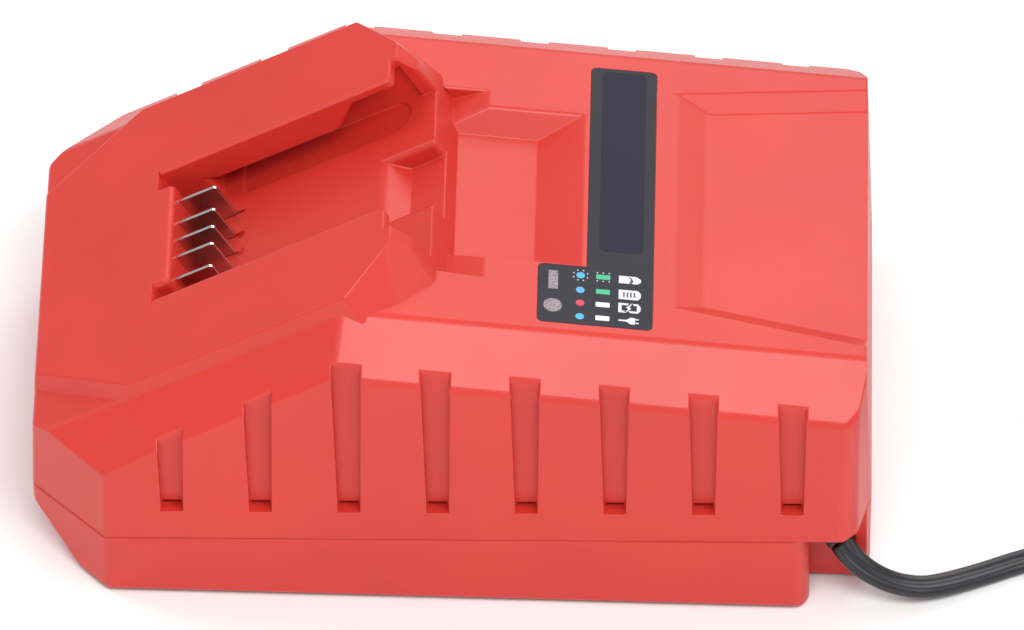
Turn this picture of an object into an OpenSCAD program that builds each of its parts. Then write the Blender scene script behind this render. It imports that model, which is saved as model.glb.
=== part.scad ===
// Slide-in battery charger: moulded case with a sloping battery dock,
// blade contacts, indicator label, power supply board and a mains lead.
// Millimetres. Z is up, X runs along the case, Y across it, and the
// feet stand on Z = 0. The case is drawn square to its parting plane
// and then leaned by `lean`, because the parting line climbs to the right.

/* [Case] */
// Length of the case at the parting line
case_l = 204.6; // [190:0.2:230]
// Width of the case at the parting line
case_w = 127; // [122:0.5:150]
// Height of the parting plane at mid length
parting_h = 21.8; // [19:0.1:28]
// Climb of the parting plane towards the right end, degrees
lean = 1.64; // [0:0.02:2.5]
// Wall thickness of both shells
wall = 2.5; // [1.8:0.1:3]
// Draft of the upper case's side walls, degrees
side_draft = 1.5; // [0.5:0.1:2.5]
// Draft of the upper case's end walls, degrees
end_draft = 1.8; // [0.5:0.1:3]
// Draft of the lower case's walls, degrees
base_draft = 0.8; // [0.2:0.1:2]
// Plan size of the two cut corners at the dock end
dock_corner = 18.6; // [12:0.2:24]
// Length of the slight corner cut at the deck end
deck_corner_l = 13.2; // [8:0.2:20]
// Depth of the slight corner cut at the deck end
deck_corner_d = 3.4; // [1:0.1:6]
// Size of the small bevel beside that cut
edge_bevel = 3.4; // [2:0.1:5]
// Rise of the bevel under the dock end
toe_rise = 11.6; // [6:0.2:14]
// Length of the bevel under the dock end
toe_run = 10.8; // [6:0.2:16]

/* [Deck] */
// Height of the deck over the parting plane at the right end
deck_end_h = 48.4; // [40:0.1:56]
// Fall of the deck towards the right end, degrees
deck_pitch = 6.7; // [4:0.1:9]
// Half width of the flat deck between its long chamfers
deck_half = 48.6; // [45:0.1:56]
// Drop of the deck's long chamfers
deck_chamfer = 11.3; // [6:0.1:14]

/* [Dock] */
// Height of the dock over the parting plane at the left end
dock_end_h = 23.8; // [18:0.1:28]
// Slope of the dock, degrees
dock_pitch = 29.6; // [26:0.1:33]
// Height of the raised dock over its flanks
dock_raise = 3.3; // [2:0.1:4.5]
// Half width of the raised dock
dock_half = 47.9; // [44:0.1:50]
// Drop of the long chamfers beside the dock
dock_chamfer = 9.7; // [6:0.1:12]
// Distance along the slope from the left end to the inner ridge
ridge_s = 100.4; // [96:0.1:106]
// Half width of the channel between the rails
channel_half = 21.75; // [20:0.05:24]
// Depth of the channel, square to the slope
channel_d = 14; // [12:0.1:15]
// Thickness of the rails' overhanging lips
lip_t = 7.8; // [6:0.1:9]
// Thickness of the lips at the entry
lip_entry_t = 2.8; // [2:0.1:4]
// Half width under the lips
groove_half = 30; // [27:0.1:31]
// Half width of the open entry
entry_half = 28.7; // [25:0.1:29.5]
// Distance along the slope to the contact wall
contact_wall_s = 37.2; // [34:0.1:42]
// Depth of the runner strips in the channel floor
runner_d = 0.8; // [0.4:0.1:1.2]
// Half width of the latch recess
latch_half = 10.2; // [8:0.1:14]
// Depth of the latch recess below the channel floor
latch_d = 5; // [3:0.1:6]

/* [Vents] */
// Number of vent slots on each long side
vent_count = 8; // [6:1:8]
// Distance between vent slots
vent_pitch = 21.475; // [19:0.025:22.5]
// Width of a vent slot at its foot
vent_w = 5.2; // [3.5:0.1:6.5]
// Height of the slots' feet over the parting plane
vent_foot = 9.1; // [6:0.1:14]
// Depth of the vent slots at their foot
vent_d = 3; // [2.5:0.1:4]
// Height of the air slit at the foot of each slot
slit_h = 1.2; // [0.8:0.1:2.2]

/* [Contacts] */
// Thickness of the blades
blade_t = 0.8; // [0.6:0.1:1.2]
// Length of the blades along the slope
blade_l = 10.2; // [8:0.1:12]
// Distance from the blades' tops to the dock's surface
blade_sink = 3.4; // [2:0.1:5]
// Offset of the inner pair of blades
blade_inner = 5.9; // [4.5:0.1:7]
// Offset of the outer pair of blades
blade_outer = 13.6; // [11:0.1:15]

/* [Label] */
// Thickness of the indicator label
label_t = 0.4; // [0.2:0.1:0.8]
// Diameter of the round indicator window
window_d = 4.5; // [3:0.1:6]
// Length of the bar indicator window
window_l = 6.2; // [4:0.1:8]
// Width of the bar indicator window
window_w = 2.3; // [1.5:0.1:3]

/* [Feet] */
// Diameter of the rubber feet
foot_d = 10; // [6:0.5:14]
// Height of the feet below the case
foot_out = 1; // [0.5:0.1:2]
// Depth of the feet in the case
foot_in = 1.2; // [0.6:0.1:1.5]

/* [Board] */
// Length of the main board
board_l = 144; // [130:1:148]
// Width of the main board
board_w = 88; // [82:1:92]
// Thickness of the boards
board_t = 1.6; // [1:0.1:2]
// Depth of the board's underside below the parting plane
board_drop = 13; // [12:0.1:14.5]
// Height of the bulk capacitor
bulk_h = 35; // [25:0.5:40]
// Diameter of the bulk capacitor
bulk_d = 22; // [16:0.5:24]

/* [Screws] */
// Diameter of the case screws
case_screw_d = 3; // [2.5:0.1:3.5]
// Length of the case screws under the head
case_screw_l = 24; // [18:0.5:28]
// Diameter of the small screws
small_screw_d = 2.5; // [2:0.1:3]

/* [Mains lead] */
// Width of the flat twin cord
cord_w = 6.6; // [5:0.1:7.4]
// Thickness of the flat twin cord
cord_t = 3.3; // [2.6:0.1:3.6]
// Radius of the coil at the middle of its turns
coil_r = 37; // [33:0.5:38]
// Width of the plug
plug_w = 24; // [20:0.5:28]
// Length of the plug
plug_l = 28; // [24:0.5:36]
// Thickness of the plug
plug_t = 12.4; // [11:0.2:16]

/* [Hidden] */
$fn = 48;

far = 400;               // larger than any part of the case
sky = 120;               // higher than the case
gap = 0.3;               // running gap round pieces that drop in
pilot_gap = 0.1;         // gap round a screw in its pilot hole
half_l = case_l / 2;
half_w = case_w / 2;
deck_x = half_l - deck_end_h * tan(end_draft);
dock_x = -half_l + dock_end_h * tan(end_draft);
chamfer_run = half_w - deck_half;
base_z = (parting_h - foot_out) / cos(lean);

// Distances along the slope, from the left end's top edge
channel_end_s = contact_wall_s - 4.3;
blade_tip_s = contact_wall_s + blade_l;
lip_step_s = ridge_s - 19.6;
lip_thin_s = lip_step_s + 6;
entry_s = ridge_s - 1.8;
runner_s = [contact_wall_s + 11.5, ridge_s - 4.2];
latch_s = ridge_s - 11;
latch_run = 4.8;         // run of the latch recess's sloping wall
tub_end_s = ridge_s + 20;
contact_half = channel_half - 4.65;

// The rails' ends: ridge, shoulders and end wall, over the parting plane
ridge_x = dock_x + ridge_s * cos(dock_pitch);
ridge_z = dock_end_h + ridge_s * sin(dock_pitch);
ridge_turn = 10.3;       // how far the ridge runs back to the outer edge
ridge_spread = 13;       // how far it spreads outwards on that way
ridge_in = 34.6;         // half width of the ridge's straight stretch
shoulder_fall = 0.735;   // fall of the shoulders per millimetre of X
shoulder_slope = (shoulder_fall + tan(dock_pitch))
  * ridge_turn / ridge_spread;
foot_x = ridge_x + 11.1; // where the end wall meets the deck
end_pitch = 57.5;        // slope of the end wall, degrees
flank_pitch = 70;        // slope of the raised dock's flanks, degrees
dock_cut = dock_half - dock_corner + 1.8; // where its corners are cut
dock_rim = 4;            // how far the raised dock's flanks may spread
end_half = ridge_in + 1.7; // half width of the end wall at its foot

deck_z = deck_end_h + (deck_x - foot_x) * tan(deck_pitch);

// Deck features, in deck coordinates: U along it from its right end
pocket_d = 5.6;
pocket_u = [-110, -69.6];
pocket_y = [-25.5, 26.7];
pocket_wall_run = 4.9;
pocket_end_run = 10.9;
nook_in = 19;            // inside the pocket, past its walls
nook_half = 32;
nook_u = [-104.6, -93.3];  // the nook's floor falls from the right one
nook_d = 4.9;
panel_u = -47.4;
panel_d = 2.8;
panel_half = 37;
panel_flare = 7.5;
panel_wall_run = 5;
panel_end_run = 8.6;
label_u = [-80, -68.2, -52.1];
label_y = [3 - deck_half, -25.9, 43.6];
label_r = 1.5;
bar_at = [-76.3, label_y[0] + 14.5];
round_at = [-76.3, label_y[0] + 5.8];
window_deep = wall + 3;

// Vent slots
vent_x0 = -67.3;
vent_flare = 0.04;       // growth of a slot's width per millimetre
vent_lean = 2.3;         // lean of its back
vent_top = 60;
vent_wall = 1.8;
slit_inset = 0.35;

// Screws, bosses and feet
boss_d = 8;
rib_t = 2;               // ribs that tie the bosses to the walls
screw_bite = 5;          // thread length of the small screws
pilot_l = 7;
case_boss_x = [-56.56, 72.29];
case_boss_y = 52;
seat_drop = 12;          // case screw heads below the parting plane
head_d = 2 * case_screw_d + 0.5;
head_h = 2.4;
lip_in = 1.2;
lip_h = 2;
lip_gap = 0.2;
foot_at = [80, 38];

// The recess in the lower case where the lead comes out
notch_x = half_l - 15.1;
notch_y = 12.2 - half_w;
notch_r = 5.5;

// Board
board_x = 8;
board_top = -board_drop + board_t;
board_boss = [66, 38];
board_pilot = 5;
board_screw_l = 5.6;

// Indicator board, in deck coordinates
led_board_u = [-84, -56];
led_board_y = [label_y[0] - 0.4, label_y[0] + 17.6];
led_board_n = -10;
led_h = 1.8;
led_boss = [[-59.5, label_y[0] + 2.6], [-59.5, label_y[0] + 14.1]];
led_size = [3.2, 2.8, led_h];
pipe_foot = led_board_n + board_t + led_h;
cable_at = [-80, label_y[0] + 8.6];

// Contact block, in slope coordinates
block_s = [contact_wall_s - 4, contact_wall_s + 14];
block_top = -channel_d - wall;
block_h = 10;
block_half = 17.5;
ear_half = 27;
ear_t = 3;
ear_s = contact_wall_s + 5;
tail_l = 5;
blade_ys = [-blade_outer, -blade_inner, 0, blade_inner, blade_outer];

// Pieces on the main board: places, and sizes of more than one use
connector_at = [-50, 0];
connector_size = [7, 34, 8];
core_at = [2, 8];
core = [34, 12, 30];     // transformer core, with legs round the winding
core_leg = 5;
core_mid = 10;
core_window = (core[0] - 2 * core_leg - core_mid) / 2;
base_t = 3;
base_half = 13;
bulk_at = [38, -10];
output_cap_at = [-32, 14];
output_cap_pitch = 16;
output_cap_d = 12.5;
output_cap_h = 25;
film_at = [60, 28];
film_size = [18, 9, 15];
choke_at = [66, 4];
choke_d = 22;
choke_h = 9;
choke_wire = 1.6;
fuse_at = [74, -10];
fuse_d = 5.2;
fuse_l = 20;
fuse_cap_l = 5;
varistor_at = [58, -34];
varistor_d = 11;
varistor_t = 4;
bridge_at = [36, 20];
bridge_size = [20, 4, 15];
bridge_pitch = 5;
lead_up = 3;             // bare leads between the board and a body
switch_at = [14, 32];
switch_fins = [40, 30, 7]; // length, height and number of fins
output_at = [-34, -30];
output_fins = [28, 24, 5];
fin_plate = 2;
fin_t = 1.4;
fin_reach = 6;
package = [10, 4.5, 9];  // power package's body
package_tab = [1.3, 6];
package_up = 5;
leg_pitch = 2.5;
opto_at = [-4, -18];
chip_at = [-6, -36];
mains_at = [68, -27];
mains_d = 2.2;
wire_d = 1.8;
wire_rise = 5;           // straight end of each wire
cable_d = 3;

// Lead: exit point on the recess wall, and its direction
exit_at = [half_l - 8.9, notch_y, parting_h - 5.7];
exit_turn = -48;
exit_dip = 34;
exit_dir = [cos(exit_turn) * cos(exit_dip),
  sin(exit_turn) * cos(exit_dip), -sin(exit_dip)];
boot_out = 3;
boot_in = 18;
boot_w = 7.6;
boot_t = 4.5;
boot_tip = 0.3;          // how much the boot thins towards its tip
boot_flange = [[half_l - 16.8, notch_y + wall, -13],
  [half_l - 5.3, notch_y + wall + 2, -1.5]];

// Route of the lead's free stretch, from the boot's tip to the coil
lead_route = [[95.1, -53.2, 14.4], [97.8, -55.3, 11.5],
  [101.5, -57, 8.8], [106, -57.9, 6.4], [110.8, -57.9, 4.5],
  [115.9, -57.2, 3.3], [121, -55.3, 2.6], [126.8, -52.5, 2],
  [132.6, -49.6, 1.7], [138, -47, 1.7], [144, -44.6, 1.8],
  [150, -43, 2.1], [156, -42.3, 2.4], [160, -42.3, 2.45],
  [165, -42.3, 2.45]];

// Route of the stretch from the coil to the plug
plug_route = [[215, -42.3, 5.95], [219, -42.3, 5.95],
  [225, -40.9, 5.2], [231, -37.8, 4], [236.2, -33.5, 2.8],
  [241, -27.3, 2], [244, -20.1, 1.8], [245, -12.3, 2.3],
  [245, -6, 3.4], [245, 0, 4.7], [245, 5, 5.7], [245, 10, 6.2],
  [245, 14, 6.2]];

// Coil: columns across, rows up, with straight ends to the routes
coil_lane = -42.3;       // where both routes meet the outer turn
coil_cols = 3;
coil_rows = 2;
coil_gap = 0.2;
coil_end = [28.5, 21.5]; // straight stretches into and out of it
coil_w = coil_cols * (cord_w + coil_gap) - coil_gap;
coil_at = [193.5, coil_lane + coil_r + (coil_w - cord_w) / 2];
coil_h = coil_rows * (cord_t + coil_gap) - coil_gap;
tie_t = 0.8;
tie_w = 9;
plug_at = [245, 14];
plug_tail = 20;
plug_shoulder = 8;
pin_size = [1.5, 17.5, 6.3];
pin_pitch = 12.7;

// ---------- helpers ----------

// Turns +Z towards v
module aim(v) {
  rotate([0, acos(v[2] / norm(v)), atan2(v[1], v[0])]) children();
}

// Everything beyond a plane through p that faces v, moved in by inset
module beyond(p, v, inset = 0) {
  translate(p) aim(v) translate([-far, -far, -inset])
    cube([2 * far, 2 * far, far]);
}

// What is left of a block inside a list of planes
module inside(planes, inset, low, high) {
  difference() {
    translate([-far / 2, -far / 2, low]) cube([far, far, high - low]);
    for (q = planes) beyond(q[0], q[1], inset);
  }
}

// From coordinates square to the parting plane to the model's own
module in_case() {
  translate([0, 0, parting_h]) rotate([0, -lean, 0]) children();
}

// Coordinates on the dock's slope: X up it from the left end, Z off it
module on_dock() {
  translate([dock_x, 0, dock_end_h]) rotate([0, -dock_pitch, 0])
    children();
}

// Coordinates on the deck: X down it, 0 at its right end, Z off it
module on_deck() {
  translate([deck_x, 0, deck_end_h]) rotate([0, deck_pitch, 0])
    children();
}

// A prism of an outline in X and Z, from y0 to y1
module side_prism(points, y0, y1) {
  translate([0, y1, 0]) rotate([90, 0, 0])
    linear_extrude(height = y1 - y0) polygon(points);
}

// A box from its lowest corner to its highest
module span(low, high) {
  translate(low) cube(high - low);
}

module both_sides() {
  children();
  mirror([0, 1, 0]) children();
}

// A pan head screw pointing up, with its head below z = 0
module screw_up(d, l, head, high) {
  cylinder(d = d, h = l);
  translate([0, 0, -high]) cylinder(d = head, h = high);
}

// Unit vector, and the heading of a path at point i
function unit(v) = v / norm(v);
function heading(p, i) =
  unit(p[min(i + 1, len(p) - 1)] - p[max(i - 1, 0)]);

// Points of one ring round c: an oblong a wide and b thick
function ring(c, t, a, b, n, up) =
  let(side = unit(cross(t, up)), top = cross(side, t))
  [for (k = [0:n - 1])
    let(q = 360 * k / n)
    c + side * cos(q) * a / 2 + top * sin(q) * b / 2];

// A tube along a path, with its flat side square to up
module tube(path, a, b, n = 8, up = [0, 0, 1]) {
  m = len(path);
  points = [for (i = [0:m - 1])
    each ring(path[i], heading(path, i), a, b, n, up)];
  sides = [for (i = [0:m - 2], k = [0:n - 1])
    let(p = i * n + k, q = i * n + (k + 1) % n)
    each [[p, q, p + n], [q, q + n, p + n]]];
  caps = [for (k = [1:n - 2])
    each [[0, k + 1, k],
      [(m - 1) * n, (m - 1) * n + k, (m - 1) * n + k + 1]]];
  polyhedron(points = points, faces = concat(sides, caps));
}

// A point in slope or deck coordinates, given square to the parting
function from_dock(s, y, n) =
  [dock_x + s * cos(dock_pitch) - n * sin(dock_pitch), y,
   dock_end_h + s * sin(dock_pitch) + n * cos(dock_pitch)];
function from_deck(u, y, n) =
  [deck_x + u * cos(deck_pitch) + n * sin(deck_pitch), y,
   deck_end_h - u * sin(deck_pitch) + n * cos(deck_pitch)];
// The model's own coordinates, given square to the parting
function to_case(p) =
  [p[0] * cos(lean) + (p[2] - parting_h) * sin(lean), p[1],
   -p[0] * sin(lean) + (p[2] - parting_h) * cos(lean)];

// ---------- outer form ----------

// Planes of the walls; way is 1 above the parting plane, -1 below
function wall_planes(way, sides, ends) = [
  [[-half_l, 0, 0], [-1, 0, way * tan(ends)]],
  [[half_l, 0, 0], [1, 0, way * tan(ends)]],
  for (m = [-1, 1]) each [
    [[0, m * half_w, 0], [0, m, way * tan(sides)]],
    [[-half_l + dock_corner, m * half_w, 0],
      [-1, m, way * tan(sides)]],
    [[half_l, m * (half_w - deck_corner_l - edge_bevel), 0],
      [deck_corner_l, m * deck_corner_d, way * tan(ends)]],
    [[half_l - deck_corner_d, m * (half_w - edge_bevel), 0],
      [edge_bevel, m * edge_bevel, way * tan(sides)]]]];

dock_flank = [[dock_x, 0, dock_end_h - dock_raise / cos(dock_pitch)],
  [-sin(dock_pitch), 0, cos(dock_pitch)]];
deck_top = [[deck_x, 0, deck_end_h],
  [sin(deck_pitch), 0, cos(deck_pitch)]];
chamfers = [for (m = [-1, 1]) each [
  [[deck_x, m * deck_half, deck_end_h],
    [tan(deck_pitch) * chamfer_run, m * deck_chamfer, chamfer_run]],
  [[dock_flank[0][0], m * deck_half, dock_flank[0][2]],
    [-tan(dock_pitch) * chamfer_run, m * dock_chamfer,
     chamfer_run]]]];

upper_planes = concat(wall_planes(1, side_draft, end_draft),
  [dock_flank, deck_top], chamfers);

lower_planes = concat(wall_planes(-1, base_draft, base_draft), [
  [[0, 0, -base_z], [-sin(lean), 0, -cos(lean)]],
  [[-half_l, 0, toe_rise - base_z + half_l * tan(lean)],
    [-toe_rise, 0, -toe_run]]]);

// Planes of the raised dock and of the rails' ends
dock_planes = concat([
  [[dock_x, 0, dock_end_h], [-sin(dock_pitch), 0, cos(dock_pitch)]],
  [[-half_l, 0, 0], [-1, 0, tan(end_draft)]],
  [[ridge_x, 0, ridge_z], [shoulder_fall, 0, 1]],
  [[foot_x, 0, deck_z], [sin(end_pitch), 0, cos(end_pitch)]]],
  [for (m = [-1, 1]) each [
    [[dock_x, m * dock_half, dock_end_h],
      [-sin(dock_pitch) * cos(flank_pitch), m * sin(flank_pitch),
       cos(dock_pitch) * cos(flank_pitch)]],
    [[dock_x, m * dock_cut, dock_end_h], [-1.1, m * 1.1, 0.55]],
    [[ridge_x, m * ridge_in, ridge_z],
      [shoulder_fall, m * shoulder_slope, 1]],
    [[0, m * (dock_half + dock_rim), 0], [0, m, 0]],
    [[foot_x - 0.6, m * end_half, deck_z], [1.01, m * 0.93, 1]]]]);

module dock_block(inset, low) {
  inside(dock_planes, inset, low, sky);
}

// Pocket between the rails' ends and the label, for the pack's end
module pocket_space() {
  difference() {
    span([pocket_u[0], pocket_y[0], -pocket_d],
      [pocket_u[1], pocket_y[1], 2]);
    beyond([pocket_u[1], 0, 0], [pocket_d, 0, -pocket_end_run]);
    for (y = pocket_y)
      beyond([0, y, 0], [0, sign(y) * pocket_d, -pocket_wall_run]);
  }
}

module deck_hollows() {
  on_deck() {
    pocket_space();
    // small nooks at the pocket's two corners
    both_sides()
      side_prism([[pocket_u[0], 2], [pocket_u[0], -nook_d],
        [nook_u[0], -nook_d], [nook_u[1], 0], [nook_u[1], 2]],
        nook_in, nook_half);
    // shallow panel that flares to the right end
    difference() {
      span([panel_u, -half_w, -panel_d], [20, half_w, 2]);
      beyond([panel_u, 0, 0], [-panel_d, 0, -panel_end_run]);
      for (m = [-1, 1])
        beyond([panel_u, m * panel_half, 0],
          [panel_flare * panel_d / panel_u, m * panel_d,
           -panel_wall_run]);
    }
  }
}

// ---------- dock channel ----------

module channel_space() {
  // between the rails
  span([contact_wall_s, -channel_half, -channel_d],
    [tub_end_s, channel_half, 30]);
  // corners beside the contact wall
  both_sides()
    span([channel_end_s, contact_half, -channel_d],
      [contact_wall_s + 1, channel_half, 30]);
  // under the lips, which thin out towards the entry
  side_prism([[contact_wall_s + 6, -channel_d],
    [contact_wall_s + 6, -lip_t], [lip_step_s, -lip_t],
    [lip_thin_s, -lip_entry_t], [entry_s + 1, -lip_entry_t],
    [entry_s + 1, -channel_d]], -groove_half, groove_half);
  // open entry
  span([entry_s, -entry_half, -channel_d],
    [tub_end_s, entry_half, 60]);
  // runner strips
  both_sides() {
    span([runner_s[0], channel_half - 2, -channel_d - runner_d],
      [runner_s[1] - 5, groove_half, -channel_d + 1]);
    translate([runner_s[1] - 5, (channel_half - 2 + groove_half) / 2,
      -channel_d - runner_d])
      cylinder(d = groove_half - channel_half + 2, h = runner_d + 1);
  }
  // latch recess
  side_prism([[latch_s, -channel_d + 1], [latch_s, -channel_d],
    [latch_s + latch_run, -channel_d - latch_d],
    [tub_end_s, -channel_d - latch_d], [tub_end_s, -channel_d + 1]],
    -latch_half, latch_half);
}

module channel_tub() {
  // walls left standing round the channel
  span([channel_end_s - wall, -groove_half - wall,
    -channel_d - wall - runner_d], [tub_end_s, groove_half + wall, 60]);
  span([latch_s - wall, -latch_half - wall,
    -channel_d - latch_d - wall],
    [tub_end_s, latch_half + wall, -channel_d]);
}

// ---------- vents ----------

function vent_x(i) = vent_x0 + vent_pitch * i;

// Front of a slot, from its foot up
module vent_outline(grow) {
  half = vent_w / 2 + grow;
  spread = vent_top * vent_flare / 2;
  polygon([[-half, -grow - 1], [half, -grow - 1],
    [half + spread, vent_top], [-half - spread, vent_top]]);
}

module vents(grow) {
  intersection() {
    span([-half_l, -far / 2, vent_foot - grow], [half_l, far / 2, far / 2]);
    both_sides()
      for (i = [0:vent_count - 1])
        translate([vent_x(i), -half_w + vent_d + grow, vent_foot])
          rotate([90 - vent_lean, 0, 0]) linear_extrude(height = 30)
            vent_outline(grow);
  }
}

module vent_slits() {
  both_sides()
    for (i = [0:vent_count - 1])
      translate([vent_x(i) - vent_w / 2 + slit_inset,
        -half_w + vent_d - 1, vent_foot])
        cube([vent_w - 2 * slit_inset, 2 * vent_wall + 2, slit_h]);
}

// ---------- cases ----------

module case_boss_places() {
  for (x = case_boss_x, m = [-1, 1])
    translate([x, m * case_boss_y, 0]) children();
}

module upper_outer() {
  difference() {
    inside(upper_planes, 0, 0, sky);
    deck_hollows();
  }
  dock_block(0, 10);
}

module upper_hollow() {
  difference() {
    union() {
      inside(upper_planes, wall, -1, sky);
      dock_block(wall, 10);
    }
    on_dock() channel_tub();
    // floor of the pocket and the panel
    on_deck() {
      span([pocket_u[0], pocket_y[0] - 1, -pocket_d - wall],
        [pocket_u[1] + wall, pocket_y[1] + 1, 5]);
      span([pocket_u[0], -nook_half - wall, -nook_d - wall],
        [nook_u[1] + wall, nook_half + wall, 5]);
      span([panel_u - wall, -half_w, -panel_d - wall],
        [20, half_w, 5]);
      for (p = led_boss) translate([p[0], p[1], led_board_n + board_t])
        cylinder(d = boss_d - 2, h = 20);
    }
    vents(vent_wall);
    // web over the recess where the lead comes out
    span([notch_x - wall, -far / 2, -1], [far / 2, notch_y + wall, wall]);
    // screw bosses and the ribs that tie them to the walls
    case_boss_places() cylinder(d = boss_d, h = 100);
    for (x = case_boss_x, m = [-1, 1])
      translate([x - rib_t / 2, m * (case_boss_y + 6) - 6, 3])
        cube([rib_t, 12, 100]);
    on_dock() both_sides()
      translate([ear_s, ear_half - 4, block_top - block_h + ear_t])
        cylinder(d = boss_d - 1, h = block_h);
  }
}

module upper_case() {
  color([0.87, 0.33, 0.3])
    in_case() difference() {
      upper_outer();
      upper_hollow();
      on_dock() channel_space();
      vents(0);
      vent_slits();
      // label recess and the two windows
      on_deck() {
        label_shape(label_t + 1, -label_t, gap / 2);
        translate([bar_at[0] - window_w / 2 - gap / 2,
          bar_at[1] - window_l / 2 - gap / 2, -window_deep])
          cube([window_w + gap, window_l + gap, window_deep]);
        translate([round_at[0], round_at[1], -window_deep])
          cylinder(d = window_d + gap, h = window_deep);
        for (p = led_boss)
          translate([p[0], p[1], led_board_n + board_t - 1])
            cylinder(d = small_screw_d + pilot_gap, h = pilot_l);
      }
      // pilot holes for the case screws
      case_boss_places() translate([0, 0, -1])
        cylinder(d = case_screw_d + pilot_gap,
          h = case_screw_l - seat_drop + 2);
      on_dock() {
        // slots for the blades, and pilot holes beside them
        for (y = blade_ys)
          span([contact_wall_s - gap / 2, y - blade_t / 2 - gap / 2,
            -channel_d - wall - runner_d - 1],
            [blade_tip_s + 1.2, y + blade_t / 2 + gap / 2,
             -channel_d + 0.5]);
        both_sides()
          translate([ear_s, ear_half - 4,
            block_top - block_h + ear_t - 1])
            cylinder(d = small_screw_d + pilot_gap, h = pilot_l);
      }
    }
}

module notch_space(grow) {
  span([notch_x - grow, -far / 2, -far / 4],
    [far / 2, notch_y + grow, 5]);
}

module lower_case() {
  color([0.84, 0.32, 0.29])
    in_case() {
      difference() {
        inside(lower_planes, 0, -60, 0);
        // hollow
        difference() {
          inside(lower_planes, wall, -60, 1);
          notch_space(wall);
          case_boss_places() translate([0, 0, -60])
            cylinder(d = boss_d + 2, h = 80);
          for (x = [-1, 1], m = [-1, 1])
            translate([board_x + x * board_boss[0],
              m * board_boss[1], -60])
              cylinder(d = boss_d - 1, h = 60 - board_drop);
        }
        notch_space(0);
        // rounded upright corner beside the recess
        difference() {
          span([notch_x - notch_r, -half_w - 5, -60],
            [notch_x + 1, -half_w + notch_r, 5]);
          translate([notch_x - notch_r, -half_w + notch_r, -60])
            cylinder(r = notch_r, h = 70);
        }
        // case screws: clearance holes and head wells
        case_boss_places() {
          translate([0, 0, -60]) cylinder(d = case_screw_d + 2 * gap,
            h = 70);
          translate([0, 0, -60]) cylinder(d = head_d + 2 * gap,
            h = 60 - seat_drop);
        }
        // pilot holes under the board
        for (x = [-1, 1], m = [-1, 1])
          translate([board_x + x * board_boss[0], m * board_boss[1],
            -board_drop - board_pilot])
            cylinder(d = small_screw_d + pilot_gap, h = 20);
        // hole for the lead's boot
        boot_hole();
        // seats of the feet
        rotate([0, lean, 0]) translate([0, 0, -parting_h])
          feet(gap / 2, 1);
      }
      // locating lip inside the upper case
      difference() {
        inside(upper_planes, wall + lip_gap, -0.01, lip_h);
        inside(upper_planes, wall + lip_gap + lip_in, -1, lip_h + 1);
        notch_space(wall + lip_gap);
        case_boss_places() translate([0, 0, -1])
          cylinder(d = boss_d + 2 * gap, h = 10);
        for (x = case_boss_x)
          translate([x - rib_t / 2 - gap, -half_w, -1])
            cube([rib_t + 2 * gap, case_w, 10]);
      }
      // shelf that carries the lip
      difference() {
        inside(lower_planes, wall - 0.5, -2.5, 0);
        inside(lower_planes, wall + lip_gap + lip_in, -4, 1);
        notch_space(wall - 0.5);
      }
    }
}

// Feet in the model's own coordinates
module feet(grow, extra) {
  for (x = [-1, 1], m = [-1, 1])
    translate([x * foot_at[0], m * foot_at[1], -extra])
      cylinder(d = foot_d + 2 * grow, h = foot_out + foot_in + extra);
}

module rubber_feet() {
  color([0.16, 0.16, 0.17]) feet(0, 0);
}

module case_screws() {
  color([0.6, 0.6, 0.62])
    in_case() case_boss_places() translate([0, 0, -seat_drop])
      screw_up(case_screw_d, case_screw_l, head_d, head_h);
}

// ---------- contacts ----------

module terminal_block() {
  color([0.2, 0.2, 0.22])
    in_case() on_dock() difference() {
      union() {
        span([block_s[0], -block_half, block_top - block_h],
          [block_s[1], block_half, block_top - runner_d]);
        both_sides()
          span([ear_s - 5, block_half - 1, block_top - block_h],
            [ear_s + 5, ear_half, block_top - block_h + ear_t]);
      }
      for (y = blade_ys)
        span([contact_wall_s, y - blade_t / 2, block_top - far / 4],
          [blade_tip_s, y + blade_t / 2, 0]);
      both_sides()
        translate([ear_s, ear_half - 4, block_top - 2 * block_h])
          cylinder(d = small_screw_d + 2 * gap, h = 3 * block_h);
    }
}

module block_screws() {
  color([0.6, 0.6, 0.62])
    in_case() on_dock() both_sides()
      translate([ear_s, ear_half - 4, block_top - block_h])
        screw_up(small_screw_d, ear_t + screw_bite, 2 * small_screw_d, 2);
}

module terminal_blade(i) {
  color([0.82, 0.82, 0.8])
    in_case() on_dock() translate([0, blade_ys[i - 1], 0])
      side_prism([[contact_wall_s, -blade_sink],
        [blade_tip_s - 0.6, -blade_sink],
        [blade_tip_s, -blade_sink - 0.6],
        [blade_tip_s, block_top - block_h],
        [ear_s + 1.5, block_top - block_h],
        [ear_s + 1.5, block_top - block_h - tail_l],
        [ear_s - 1.5, block_top - block_h - tail_l],
        [ear_s - 1.5, block_top - block_h],
        [contact_wall_s, block_top - block_h]],
        -blade_t / 2, blade_t / 2);
}

module terminal_blade_1() { terminal_blade(1); }
module terminal_blade_2() { terminal_blade(2); }
module terminal_blade_3() { terminal_blade(3); }
module terminal_blade_4() { terminal_blade(4); }
module terminal_blade_5() { terminal_blade(5); }

module terminal_wires() {
  color([0.75, 0.15, 0.12])
    in_case() for (i = [0:4]) {
      y = blade_ys[i];
      top = from_dock(ear_s, y, block_top - block_h - tail_l);
      low = [connector_at[0], y, board_top + connector_size[2]];
      tube([top, from_dock(ear_s, y,
          block_top - block_h - tail_l - wire_rise),
        [top[0] * 0.6 + low[0] * 0.4, y, (top[2] + low[2]) / 2],
        low + [0, 0, wire_rise], low], wire_d, wire_d, up = [0, 1, 0]);
    }
}

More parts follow.
